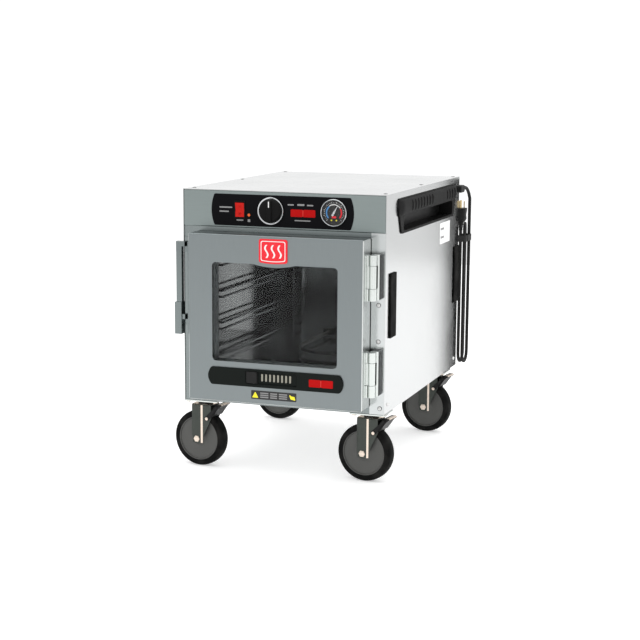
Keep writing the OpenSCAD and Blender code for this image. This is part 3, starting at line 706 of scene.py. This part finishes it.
CASTER_PLATE_T = 3
CABINET_PARTS = [
    # node, material, edge radius
    ("top_panel", PANEL, 0.7),
    ("left_side_panel", PANEL, 0.6),
    ("right_side_panel", PANEL, 0.6),
    ("base_pan", BACK, 0.6),
    ("back_panel", BACK, 0.3),
    ("strike_plate", JAMB, 0.4),
    ("cavity_liner", LINER, 0.3),
    ("rack_uprights", WIRE, 0.0),
    ("pan_slides", WIRE, 0.0),
    ("heating_element", ELEMENT, 0.0),
    ("insulation", WOOL, 0.0),
    ("thermostat_body", IVORY, 0.6),
    ("power_switch_case", SWITCH, 0.4),
    ("side_bumpers", BUMPER, 1.6),
    ("hinge_pins", HINGE, 0.5),
]


def make_shell():
    for node, material, edge in CABINET_PARTS:
        piece(packed(node), node + "_made", "cabinet", [material], [node], bevel=edge)
    jambs = packed("front_frame").cut(DOOR_X[1], "x")
    for face in jambs.bm.faces:
        face.material_index = int(face.calc_center_median().x > DOOR_X[1])
    piece(jambs, "front_frame_made", "cabinet", [JAMB, POLISHED], ["front_frame"], bevel=0.3)
    plates = packed("caster_plates")
    for face in plates.bm.faces:
        face.material_index = int(face.calc_center_median().z < -CASTER_PLATE_T - 0.1)
    piece(plates, "caster_plates_made", "cabinet", [HINGE, PLATE_BLACK], ["caster_plates"], bevel=0.4)


def make_fascia():
    """The control fascia: a pan with a rounded edge, pierced behind the controls."""
    x, y, z = span("control_fascia")
    holes = [circle(centre_of("thermostat_knob"), 8), circle(centre_of("pilot_light"), 4.2, 24),
             circle(centre_of("thermometer_case"), 27),
             rect(grown(span("power_switch_case")[0], -2), grown(span("power_switch_case")[2], -2))]
    rings = rounded_rim(x, z, y, radius=2.2, corner=2.5)
    shape = Shape().pan(rings, holes, 1.2)
    piece(shape, "control_fascia_pan", "cabinet", [FASCIA], ["control_fascia"],
          solid=1.2)


def centre_of(node):
    limits = span(node)
    return (middle(limits[0]), middle(limits[2]))


def rounded_rim(x, z, y, radius, corner, steps=5):
    """Rings of a pan whose face is at the front of y and whose edge is rounded."""
    rings = []
    for k in range(steps + 1):
        a = math.pi / 2 * k / steps
        inset = radius * (1 - math.sin(a))
        depth = y[0] + radius * (1 - math.cos(a))
        outline = rounded(rect(grown(x, -inset), grown(z, -inset)), max(corner - inset, 0.3), 4)
        rings.append(ring_at(outline, depth))
    rings.append([(px, y[1], pz) for px, _, pz in rings[-1]])
    return rings


def make_handles():
    """Moulded side handles: bezel, pocket, and a ribbed grip that bulges above the pocket."""
    proud = span("side_handles")[0][1]
    rim, floor = HALF_W + 3, HALF_W - 30
    outline = rounded([(75, 458), (106, 380), (561, 380), (583, 458)], 12)
    pocket = rounded(rect((121, 545), (386, 419)), 7)
    shell = rounded(rect((119, 547), (384, 421)), 9)
    shape = Shape().plate([outline, pocket], (HALF_W, rim), "x", bevel=1.2)
    for skin, front, back, material in ((pocket, rim - 1, floor, 1), (shell, HALF_W + 1, floor - 2, 0)):
        shape.loft([ring_at(skin, x, "x") for x in (front, back)], material, ends=False)
        shape.mesh(ring_at(skin, back, "x"), [tuple(range(len(skin)))], material)
    low, high, start, end = 420, 455.5, 84, 574
    rings = []
    stations = 40
    for k in range(stations + 1):
        y = start + (end - start) * k / stations
        edge = min(y - start, end - y) / 26
        full = math.sqrt(max(0.02, 1 - max(0, 1 - edge) ** 2))
        section = [(HALF_W + 1, y, low), (HALF_W + 1, y, high)]
        for j in range(11):
            a = math.pi * j / 10
            z = (low + high) / 2 + (high - low) / 2 * math.cos(a)
            section.append((rim - 0.5 + (proud - 1.2 - rim) * full * math.sin(a) ** 0.6, y, z))
        rings.append(section)
    shape.loft(rings)
    for first, count in ((165, 8), (466, 4)):
        for i in range(count):
            y = first + 24 * i
            rib = [(rim + 1, 424), (proud - 1.8, 427), (proud - 0.2, 433), (proud - 0.2, 444),
                   (proud - 1.8, 450), (rim + 1, 453)]
            shape.prism(rib, (y, y + 6))
    shape.both_sides()
    piece(shape, "side_handles_moulded", "cabinet", [GRIP, SWITCH], ["side_handles"], bevel=0.5)


def screw_head(shape, at, axis, r, dome):
    """A screw head at a place: a low dome with a round recess in its middle."""
    centre, base = at
    steps = ((1, 0), (0.96, 0.35), (0.7, 0.85), (0.4, 1), (0.36, 0.2), (0, 0.2))
    shape.lathe([(r * a, base + dome * b) for a, b in steps], centre, axis, steps=24)


def make_screws():
    """Heads of the screws on the top, the sides and the frame, and the caster bolts."""
    # The top screw heads are near-black: painted shade standing for the shade on their domed sides.
    top = Shape()
    for x in (-220, 220):
        for y in (33, 315, 607):
            screw_head(top, ((x, y), TOP_Z - 0.1), "z", 4.8, 0.8)
    piece(top, "top_screws", "cabinet", [SCREW_PAINTED_SHADE], ["body_screws"])
    # The screw heads on the sides and the frame are white: a painted highlight standing for their bright
    # steel domes.
    bright = Shape()
    for sign in (-1, 1):
        for y in (24, 598):
            screw_head(bright, ((y, 20), sign * HALF_W), "x", 4, sign * 2.2)
    for at in ((217, 238), (217, 159), (222, 14)):
        screw_head(bright, (at, 2.6), "y", 4, -2.3)
        # A near-black disc under each frame screw head: a painted shadow.
        bright.plate([circle(at, 5, 32)], (2.5, 3.1), material=1)
    piece(bright, "front_and_side_screws", "cabinet", [INK_WHITE_AND_PAINTED_HIGHLIGHT, SCREW_PAINTED_SHADE])
    bolts = Shape()
    head = [(5.4, -3), (5.4, -5.6), (4.6, -6), (0, -6)]
    for node in ("front_left", "front_right", "rear_left", "rear_right"):
        swivel = swivel_of(node)
        for dx in (-32, 32):
            for dy in (-23, 23):
                bolts.lathe(head, (swivel.x + dx, swivel.y + dy), "z", steps=6)
    piece(bolts, "caster_bolts", "cabinet", [ZINC_AND_PAINTED_HIGHLIGHT], bevel=0.3)


def joint(name):
    return next(j for j in frame["joints"] if j["name"] == name)


def swivel_of(corner):
    """Where a caster swivels, in the cabinet's frame."""
    return CABINET.inverted() @ Vector(joint(corner + "_swivel_turn")["pos_m"])


def make_rating_plate():
    """A blank plate on the right side, with two grey bands."""
    outline = rounded(rect((442, 533), (322, 372)), 2)
    shape = Shape().plate([outline], (HALF_W, HALF_W + 0.4), "x", bevel=0.1)
    for z in (360, 340):
        shape.prism(rect((448, 478), (z - 5, z)), (HALF_W + 0.3, HALF_W + 0.5), "x", material=1)
    piece(shape, "rating_plate", "cabinet", [PAPER, INK_GREY])


make_shell()
make_fascia()
make_handles()
make_screws()
make_rating_plate()

# ---------- controls


def make_overlay():
    x, y, z = span("control_overlay")
    outline = bulged(grown(x, -7), z, 7, 4)
    holes = [circle(centre_of("thermostat_knob"), 8), circle(centre_of("thermometer_case"), 26.5)]
    shape = Shape().plate([outline] + holes, y, bevel=0.4)
    piece(shape, "control_overlay_sheet", "cabinet", [OVERLAY], ["control_overlay"])
    marks = Shape()
    for u, v in (((-106, -90), (406, 409)), ((-80, -74), (404, 410)), ((12, 26), (443, 446)),
                 ((34, 50), (443, 447)), ((56, 70), (443, 446)), ((28, 64), (410, 412.5)),
                 ((-146, -116), (433, 436)), ((-146, -124), (424, 427))):
        marks.plate([rounded(rect(u, v), 1, 3)], (y[0] - 0.15, y[0] + 0.1))
    piece(marks, "legend_marks", "cabinet", [INK_GREY])


def make_readout(name, body, x, z, face):
    """A red window in two halves with a paler line between them."""
    mid = middle(x)
    shape = Shape()
    for part in ((x[0], mid - 0.8), (mid + 0.8, x[1])):
        shape.plate([rounded(rect(part, z), 2)], (face - 0.8, face + 0.2), bevel=0.25)
    shape.prism(rect((mid - 0.8, mid + 0.8), grown(z, -1)), (face - 0.6, face + 0.2), material=1)
    piece(shape, name, body, [READOUT, READOUT_LINE])


def make_knob():
    """Thermostat knob: chrome ring, black cap, grip bar and a white pointer."""
    x, y, z = span("thermostat_knob")
    at = (middle(x), middle(z))
    r, back, front = (x[1] - x[0]) / 2, FACE_Y - 0.4, y[0]
    bezel = Shape().lathe([(r - 3.6, back), (r - 0.4, back), (r, back - 1.2), (r, -5.4), (r - 0.8, -6.4),
                          (r - 2.6, -6.4), (r - 3.4, -5.6)], at, steps=96)
    piece(bezel, "knob_ring", "knob", [CHROME])
    cap = Shape().lathe([(3, 28), (3, back), (r - 3.5, back), (r - 3.5, -6.5), (r - 4.6, -9.5),
                         (r - 6.5, front + 5), (r - 9, front + 4), (0, front + 4)], at, steps=96)
    rings = []
    bar = ((front + 5.5, 6.4, r - 5.4), (front + 1.6, 5.4, r - 6), (front + 0.4, 4.6, r - 7),
           (front, 3.6, r - 8.4))
    for depth, half_x, half_z in bar:
        outline = rounded(rect((at[0] - half_x, at[0] + half_x), (at[1] - half_z, at[1] + half_z)), 3.2)
        rings.append(ring_at(outline, depth))
    cap.loft(rings)
    piece(cap, "knob_cap", "knob", [KNOB], ["thermostat_knob"])
    pointer = Shape().plate([rounded(rect((at[0] - 1.1, at[0] + 1.1), (at[1] + 8, at[1] + r - 9)), 0.9, 3)],
                            (front - 0.05, front + 0.3))
    piece(pointer, "knob_pointer", "knob", [INK_WHITE_AND_PAINTED_HIGHLIGHT])


def make_switch():
    """The lit rocker, with two dished halves."""
    x, y, z = span("power_rocker")
    mid, high = middle(z), (z[1] - z[0]) / 2
    outline = [(y[0], z[1]), (y[0] + 2.1, mid + 5), (y[0] + 3.2, mid), (y[0] + 2.6, mid - 6),
               (y[0] + 1.9, z[0]), (1, z[0] + 1), (6, mid - 4), (6, mid + 4), (1, z[1] - 1)]
    shape = Shape().prism(outline, grown(x, -1.2), "x")
    for part in (mid + high * 0.5, mid - high * 0.5):
        shape.plate([circle((middle(x), part), 2.2, 24), circle((middle(x), part), 1.5, 24)],
                    (y[0] + 0.7, y[0] + 2.4))
    piece(shape, "power_rocker_lit", "rocker", [ROCKER], ["power_rocker"], bevel=0.5)


def make_pilot():
    x, y, z = span("pilot_light")
    at, r = (middle(x), middle(z)), (x[1] - x[0]) / 2
    profile = [(r - 1.2, 12), (r - 1.2, y[0] + 0.8), (r - 1.8, y[0] + 0.3), (r - 3, y[0]), (0, y[0])]
    piece(Shape().lathe(profile, at, steps=32), "pilot_lens", "cabinet", [AMBER], ["pilot_light"])
    edge = [circle(at, r, 32), circle(at, r - 1.2, 32)]
    ring = Shape().plate(edge, (y[0] + 0.4, FACE_Y + 0.1), bevel=0.3)
    piece(ring, "pilot_ring", "cabinet", [SWITCH])


def arc_band(shape, at, radii, angles, limits, material):
    """A band of a ring between two angles in degrees."""
    steps = 24
    turn = [math.radians(angles[0] + (angles[1] - angles[0]) * k / steps) for k in range(steps + 1)]
    outline = [(at[0] + radii[1] * math.cos(a), at[1] + radii[1] * math.sin(a)) for a in turn]
    outline += [(at[0] + radii[0] * math.cos(a), at[1] + radii[0] * math.sin(a)) for a in turn[::-1]]
    shape.prism(outline, limits, "y", material)


def make_thermometer():
    """Dial thermometer: ring, black dial with its scale, needle and lens."""
    x, y, z = span("thermometer_case")
    at, r, front = (middle(x), middle(z)), (x[1] - x[0]) / 2, y[0]
    profile = [(r - 3.5, 24), (r - 3.5, FACE_Y), (r, FACE_Y), (r, front + 1.4), (r - 0.8, front + 0.3),
               (r - 1.8, front), (r - 2.6, front + 0.6), (r - 3, front + 2), (r - 3, -1.8), (0, -1.8)]
    case = Shape().lathe(profile, at, steps=96)
    piece(case, "thermometer_ring", "cabinet", [CHROME], ["thermometer_case"])
    dial = Shape().lathe([(r - 3.05, -1.7), (r - 3.05, -2.1), (0, -2.1)], at, steps=96)
    face = (-2.3, -2.0)
    arc_band(dial, at, (15.2, 18.2), (222, 131), face, 1)
    arc_band(dial, at, (16.4, 18.2), (127, 36), face, 2)
    arc_band(dial, at, (15.2, 18.2), (32, -40), face, 3)
    for k in range(28):
        a = 225 - 10 * k
        arc_band(dial, at, (20.5, 23.6 if k % 3 == 0 else 22), (a - 0.9, a + 0.9), face, 2)
    dial.plate([rounded(rect((at[0] - 5, at[0] + 5), (at[1] - 11.5, at[1] - 7)), 1.6)], face, material=3)
    for side in (-1, 1):
        dial.plate([circle((at[0] + side * 5.5, at[1] - 16), 1.7, 20)], face, material=4)
    piece(dial, "thermometer_dial", "cabinet", [INK_BLACK, INK_BLUE, INK_WHITE_AND_PAINTED_HIGHLIGHT, INK_RED, INK_YELLOW])
    needle = Shape()
    a = math.radians(60)
    along, side = Vector((math.cos(a), math.sin(a))), Vector((-math.sin(a), math.cos(a)))
    centre = Vector(at)
    half = [(-8, 1.9), (-6, 2.3), (2, 1.9), (18.5, 0.4)]
    tip = [centre + along * d + side * w for d, w in half + [(d, -w) for d, w in half[::-1]]]
    needle.prism([(p.x, p.y) for p in tip], (-3.8, -3.1))
    needle.lathe([(1, 6), (1, -2.4), (2.8, -2.4), (2.8, -4), (2.2, -4.5), (0, -4.6)], at, steps=32)
    piece(needle, "thermometer_pointer", "needle", [CHROME], ["thermometer_needle"], bevel=0.15)
    profile = [(r - 3.02, -5.2), (r - 3.02, -5.9), (r - 8, -6.3), (0, -6.5), (0, -5.2)]
    lens = Shape().lathe(profile, at, steps=64)
    piece(lens, "thermometer_lens", "cabinet", [LENS])


make_overlay()
make_readout("control_readout", "cabinet", (19, 75), (419, 435), FACE_Y)
make_knob()
make_switch()
make_pilot()
make_thermometer()

# ---------- door

# The rim of the door's outer pan reaches back over the seal
DOOR_RIM_Y = -1
WINDOW_X = (-143, 143)
WINDOW_Z = (104.5, 320)
LOUVRES = 8
LOUVRE_PITCH = 9.2
LOUVRE_W = 4.6
LOUVRE_X = -29
LOUVRE_Z = (66, 82)


def window_outline(grow, corner):
    """The window, whose upper edge dips in the middle under the badge."""
    x, z = grown(WINDOW_X, grow), grown(WINDOW_Z, grow)
    dip_half, dip = 48, 6
    steps = 16
    top = []
    for k in range(steps + 1):
        u = dip_half * (1 - 2 * k / steps)
        top.append((u, z[1] - dip * (1 - (u / dip_half) ** 2)))
    corners = [(x[0], z[0]), (x[1], z[0]), (x[1], z[1])] + top + [(x[0], z[1])]
    return rounded(corners, [corner] * 3 + [0] * len(top) + [corner])


def louvre_slots():
    starts = [LOUVRE_X + i * LOUVRE_PITCH for i in range(LOUVRES)]
    return [rounded(rect((u, u + LOUVRE_W), LOUVRE_Z), 1.2, 3) for u in starts]


def make_door():
    rings = rounded_rim(DOOR_X, DOOR_Z, (DOOR_Y[0], DOOR_RIM_Y), radius=3.2, corner=3.6)
    skin = Shape().pan(rings, [window_outline(0, 9)] + louvre_slots(), 1.5)
    # The sides and underside of the door's pan are a paler copy of the door steel, a painted highlight. The
    # top keeps the darker door steel.
    skin.paint(1, (1, 0, 0)).paint(1, (-1, 0, 0)).paint(1, (0, 0, -1))
    piece(skin, "door_outer_pan", "door", [DOOR, DOOR_EDGE_PAINTED_HIGHLIGHT], ["door_skin"], solid=1.2)
    piece(packed("door_back"), "door_inner_pan", "door", [INNER], ["door_back"],
          bevel=0.4)
    piece(packed("window_panes"), "window_glass_panes", "door", [GLASS], ["window_panes"])
    piece(packed("door_gasket"), "door_seal", "door", [SEAL], ["door_gasket"], bevel=3, steps=3)


def make_badge():
    """A plain red badge with a pale border and three wavy strokes."""
    x, z, face = (-34, 31), (322, 375), DOOR_Y[0]
    steps = 12
    mid, half = middle(x), (x[1] - x[0]) / 2
    low = []
    for k in range(steps + 1):
        low.append((x[0] + 2 * half * k / steps, z[0] + 2.5 * (((2 * k / steps) - 1) ** 2)))
    corners = low + [(x[1], z[1]), (x[0], z[1])]
    radii = [5] + [0] * (steps - 1) + [5, 5, 5]
    outline = rounded(corners, radii)
    shape = Shape().plate([outline], (face - 1.4, face + 0.1), bevel=0.5)
    inner = [(mid + (u - mid) * 0.86, middle(z) + (v - middle(z)) * 0.84) for u, v in outline]
    hole = [(mid + (u - mid) * 0.81, middle(z) + (v - middle(z)) * 0.78) for u, v in outline]
    shape.plate([inner, hole], (face - 1.6, face - 1.2), material=1)
    for k in (-1, 0, 1):
        left, right = [], []
        for j in range(17):
            v = middle(z) - 14 + 28 * j / 16
            u = mid + 15 * k + 3.2 * math.sin(2 * math.pi * j / 16)
            left.append((u - 1.9, v))
            right.append((u + 1.9, v))
        shape.plate([left + right[::-1]], (face - 1.6, face - 1.2), material=1)
    piece(shape, "door_badge", "door", [INK_RED, INK_WHITE_AND_PAINTED_HIGHLIGHT])


def make_vent():
    """Cover strip with a rounded edge, a black backing round the louvres, and the shutter."""
    x, y, z = span("vent_cover")
    face = DOOR_Y[0]
    window = rounded(rect((-63, 54), (60, 87)), 3)
    cover = Shape().plate([bulged(grown(x, -8), z, 8, 6), window], (y[0], face + 0.05), bevel=1.6)
    cover.plate([rect((-140, 55), (57.5, 89.5))] + louvre_slots(), (face - 0.5, face - 0.05))
    piece(cover, "vent_cover_strip", "door", [VENT], ["vent_cover"])
    blades = Shape()
    for i in range(LOUVRES):
        start = LOUVRE_X + i * LOUVRE_PITCH
        end = start + LOUVRE_W + 0.3
        blade = [(start - 0.3, face + 1.6), (start - 0.1, face - 0.1), (start + 1, face - 0.5),
                 (end, face + 1.2), (end, face + 2)]
        blades.prism(blade, grown(LOUVRE_Z, 0.3), "z")
    piece(blades, "vent_louvre_blades", "door", [LOUVRE_STEEL])
    sx, sy, _ = span("vent_slider")
    slider = Shape().block((sx[0], sx[1]), (face - 2.4, face - 0.6), (57.5, 89.5))
    outline = rounded(rect((-61, -37), (61, 86)), 2.5)
    slider.plate([outline], (sy[0], face - 2.2), bevel=1.2)
    for k in range(3):
        start = -55 + 5 * k
        slider.prism(rect((start, start + 2), (65, 82)), (sy[0] - 0.02, sy[0] + 1))
    piece(slider, "vent_shutter", "vent_shutter", [TAB], ["vent_slider"], bevel=0.25)


def make_caution_label():
    """A black label with plain yellow fields and grey bars, all blank."""
    face = DOOR_Y[0]
    shape = Shape().plate([rounded(rect((-52, 52), (26, 45)), 1.5)], (face - 0.35, face + 0.05), bevel=0.1)
    fields = [[(-50, 29), (-35, 29), (-42.5, 42.5)], [(35, 42), (39, 31), (50, 29), (48, 37), (41, 38)]]
    marks = [(rounded(field, 1.1, 3), 1) for field in fields]
    for v in (40, 35.5, 31):
        for u in ((-31, -12), (-8, 8), (12, 31)):
            marks.append((rounded(rect(u, (v - 1.3, v + 1.3)), 0.8, 3), 2))
    for outline, material in marks:
        shape.plate([outline], (face - 0.5, face - 0.3), material=material)
    piece(shape, "door_label", "door", [INK_BLACK, INK_YELLOW, INK_GREY])


def make_hinges():
    """Lift-off hinges, with filler blocks beside the knuckles of the frame's leaves."""
    outer = span("hinge_frame_leaves")[0][1]
    leaves = packed("hinge_frame_leaves").cut(-14, "y")
    for vert in leaves.bm.verts:
        if vert.co.x > outer - 1 and vert.co.y < -20:
            vert.co.x -= 8
    for low, high in ((44, 70), (119, 141), (251, 277), (326, 348)):
        leaves.block((200.6, 206), (-37, -24), (low, high))
    # Behind the front, the faces of the frame's leaves that look right or up take near-black metal: painted
    # shade along the hinge's right side and top.
    leaves.paint(1, (1, 0, 0), beyond=-14).paint(1, (0, 0, 1), beyond=-16)
    piece(leaves, "hinge_frame_halves", "cabinet", [HINGE, HINGE_PAINTED_SHADE], ["hinge_frame_leaves"], bevel=0.5)
    piece(packed("hinge_door_leaves"), "hinge_door_halves", "door", [HINGE], ["hinge_door_leaves"],
          bevel=0.5)


def make_latch():
    """The lugs on the door's edge, and the pull with rounded bars and a wide lower grip."""
    piece(packed("latch_housing"), "latch_lugs", "door", [LATCH], ["latch_housing"], bevel=0.8)
    piece(packed("latch_lever"), "latch_pull", "latch", [LATCH], ["latch_lever"], bevel=2.4, steps=4)


make_door()
make_badge()
make_vent()
make_readout("vent_readout", "door", (82, 136), (62.5, 79), span("vent_cover")[1][0])
make_caution_label()
make_hinges()
make_latch()

# ---------- casters

WHEEL_R = 63.5
TRAIL = 12
FORK_TOP = 143.5
FORK_Y = (16.5, 19)


def caster_place(corner):
    """The caster's own frame: z from the floor, the axle along y, the wheel trailing to -x."""
    axle = Vector(joint(corner + "_wheel_roll")["axis"])
    swivel = Vector(joint(corner + "_swivel_turn")["pos_m"])
    turn = Matrix.Rotation(math.atan2(-axle.x, axle.y), 4, "Z")
    return Matrix.Translation((swivel.x, swivel.y, 0)) @ turn @ Matrix.Scale(MM, 4)


def wheel_shape(profile, steps=96, hollow=True):
    return Shape().lathe(profile, (-TRAIL, WHEEL_R), "y", 0, steps, hollow)


def make_tyre(corner, place):
    """Tyre with a crowned tread and a raised line on each wall."""
    half, r, rim = 14, WHEEL_R, 50
    walls = [(rim, -half), (rim + 3, -half - 0.1), (rim + 4, -half + 0.3), (r - 5.5, -half),
             (r - 3, -half + 1), (r - 1.3, -half + 3), (r - 0.35, -half + 7), (r, 0)]
    profile = walls + [(a, -b) for a, b in walls[-2::-1]]
    shape = wheel_shape(profile + [(rim, 0)])
    piece(shape, corner + "_tyre_tread", corner + "_wheel", [TYRE], [corner + "_tyre"], where=place)


def make_hub(corner, place):
    """Disc wheel: a rim lip, a dished web with ribs, and a boss."""
    half, rim = 14, 50
    side = [(rim, half - 1), (rim - 0.6, half + 0.2), (rim - 2.2, half + 0.2), (rim - 3.4, half - 2.4),
            (30, half - 4.2), (18, half - 3.6), (15.5, half - 1), (13.5, half + 1.5), (5.05, half + 1.5)]
    profile = side + [(a, -b) for a, b in side[::-1]]
    shape = wheel_shape(profile)
    piece(shape, corner + "_hub_disc", corner + "_wheel", [HUB], [corner + "_hub"], where=place)


def make_fork(corner, place):
    """Swivel fork: crown, tapered legs, and a pressed step along each leg."""
    z = WHEEL_R
    side = [(-26, FORK_TOP), (24, FORK_TOP), (24, 112), (-2, z - 6), (-6, z - 11), (-18, z - 11),
            (-24, z - 3), (-26, z + 10)]
    crown = rounded(rect((-26, 24), (-19, 19)), 5)
    shape = Shape().plate([crown], (FORK_TOP - 4, FORK_TOP), "z", bevel=0.6)
    for sign in (-1, 1):
        inner, outer = sorted((sign * FORK_Y[0], sign * FORK_Y[1]))
        shape.plate([rounded(side, [3, 3, 6, 5, 4, 4, 5, 6], 4)], (inner, outer), bevel=0.5)
        face = sign * FORK_Y[1]
        proud = sign * (FORK_Y[1] + 2.2)
        low, high = z - 9, FORK_TOP - 1.5
        step = [(-24, face), (-22.6, proud), (-1.6, proud), (2.6, face)]
        shape.prism(step, (low, high), "z")
    # The fork's upward faces and the forward-looking faces of its pressed steps take the pale cream zinc: a
    # painted highlight on the dark fork.
    shape.paint(1, (0, 0, 1))
    shape.bm.normal_update()
    for face in shape.bm.faces:
        centre = face.calc_center_median()
        if face.normal.x > 0.3 and abs(centre.y) > FORK_Y[1] and -2 < centre.x < 3:
            face.material_index = 1
    piece(shape, corner + "_fork_pressed", corner + "_swivel", [FORK, ZINC_AND_PAINTED_HIGHLIGHT], [corner + "_fork"],
          bevel=0.3, where=place)


def make_axle(corner, place):
    """Axle with a domed nut at each end and a washer under it."""
    shape = wheel_shape([(5, -19.5), (5, 19.5)], steps=32, hollow=False)
    for sign in (-1, 1):
        washer = [(5, sign * 19), (8.6, sign * 19), (8.6, sign * 20), (5, sign * 20)]
        shape.lathe(washer, (-TRAIL, WHEEL_R), steps=32)
        nut = [(7.8, sign * 20), (7.8, sign * 22.6), (6.6, sign * 23.4)]
        shape.lathe(nut, (-TRAIL, WHEEL_R), steps=6)
        dome = [(6, sign * 22.8), (5.4, sign * 23.6), (3.6, sign * 24), (0, sign * 24)]
        shape.lathe(dome, (-TRAIL, WHEEL_R), steps=24)
    piece(shape, corner + "_axle_bolt", corner + "_swivel", [ZINC_AND_PAINTED_HIGHLIGHT], [corner + "_axle"], bevel=0.25,
          where=place)


def make_brake(corner, place):
    """Brake pedal: two arms, the tread with a pale edge, and the shoe above the tyre."""
    arm = rounded([(8, 108), (14, 106), (22, 112), (44, 138), (47, 146), (40, 147), (28, 133), (10, 116)],
                  [2, 3, 3, 3, 2, 2, 3, 2], 3)
    shape = Shape()
    for sign in (-1, 1):
        shape.plate([arm], sorted((sign * 19.5, sign * 21.5)), bevel=0.5)
        shape.lathe([(2.5, sign * 16.5), (2.5, sign * 20.5)], (14, 112), steps=24)
        rivet = [(3.6, sign * 21.3), (3.6, sign * 22.3), (2.4, sign * 22.8), (0, sign * 22.8)]
        shape.lathe(rivet, (14, 112), material=1, steps=24)
    tread = rounded([(36, 143), (44, 138), (52, 144), (50, 147), (39, 147)], [2, 3, 2, 1, 1], 3)
    shape.plate([tread], (-21.5, 21.5), bevel=0.8)
    edge = [(45, 147), (50.4, 146.6), (51.6, 144.6), (52, 145.2), (50.8, 147.2), (45, 147.6)]
    shape.prism(edge, (-19, 19), material=1)
    shoe = [(25, 119), (29, 117), (45, 139), (42, 140.5), (28, 123)]
    shape.plate([rounded(shoe, 1.2, 3)], (-21.5, 21.5), bevel=0.5)
    piece(shape, corner + "_brake_pedal", corner + "_pedal", [BRAKE, ZINC_AND_PAINTED_HIGHLIGHT], [corner + "_brake"],
          where=place)


for corner in ("front_left", "front_right", "rear_left", "rear_right"):
    here = caster_place(corner)
    make_tyre(corner, here)
    make_hub(corner, here)
    make_fork(corner, here)
    make_axle(corner, here)
    make_brake(corner, here)

# ---------- studio


def make_card(name, corners, material):
    mesh = bpy.data.meshes.new(name)
    mesh.from_pydata(corners, [], [(0, 1, 2, 3)])
    mesh.materials.append(material)
    card = linked(name, mesh)
    return card


def make_floor():
    pale = Surface("floor_pale", (0.8, 0.8, 0.8), 0.9, Emission_Color=(1, 1, 1, 1),
                   Emission_Strength=0.4)
    pale.layer(3, tone=0.005)
    size = 3.5
    corners = rect((-size, size), (-size, size))
    make_card("floor", ring_at(corners, 0, "z"), pale.done())


def make_flag():
    """A dark card behind the cabinet that only shows as a soft band in its right side."""
    x, y, z = (0.262, 0.36), 0.65, (0, 0.6)
    flag = make_card("flag", ring_at(rect(x, z), y), STRAP)
    flag.visible_camera = False
    flag.visible_diffuse = False
    flag.visible_shadow = False
    flag.visible_transmission = False


def make_area(name, place, target, size, power):
    data = bpy.data.lights.new(name, "AREA")
    data.shape = "RECTANGLE"
    data.size, data.size_y = size
    data.energy = power
    light = linked(name, data)
    light.location = place
    light.rotation_euler = (Vector(target) - Vector(place)).to_track_quat("-Z", "Y").to_euler()
    light.visible_camera = False


def make_world():
    world = bpy.data.worlds.new("studio")
    world.use_nodes = True
    background = world.node_tree.nodes["Background"]
    background.inputs["Color"].default_value = (1, 1, 1, 1)
    background.inputs["Strength"].default_value = 1.1
    bpy.context.scene.world = world
    bpy.context.scene.view_settings.view_transform = "Standard"


make_floor()
make_world()
make_area("top_light", (0.0, 0.5, 5.0), (0, 0.5, 0), (8, 8), 175)
# A card on the back of the cavity, mirrored in the front half of its left wall
cavity_light = CABINET @ Vector((-10, 572, 160))
make_area("cavity_light", cavity_light, cavity_light - Vector((0, 1, 0)), (0.1, 0.2), 0.064)
make_flag()
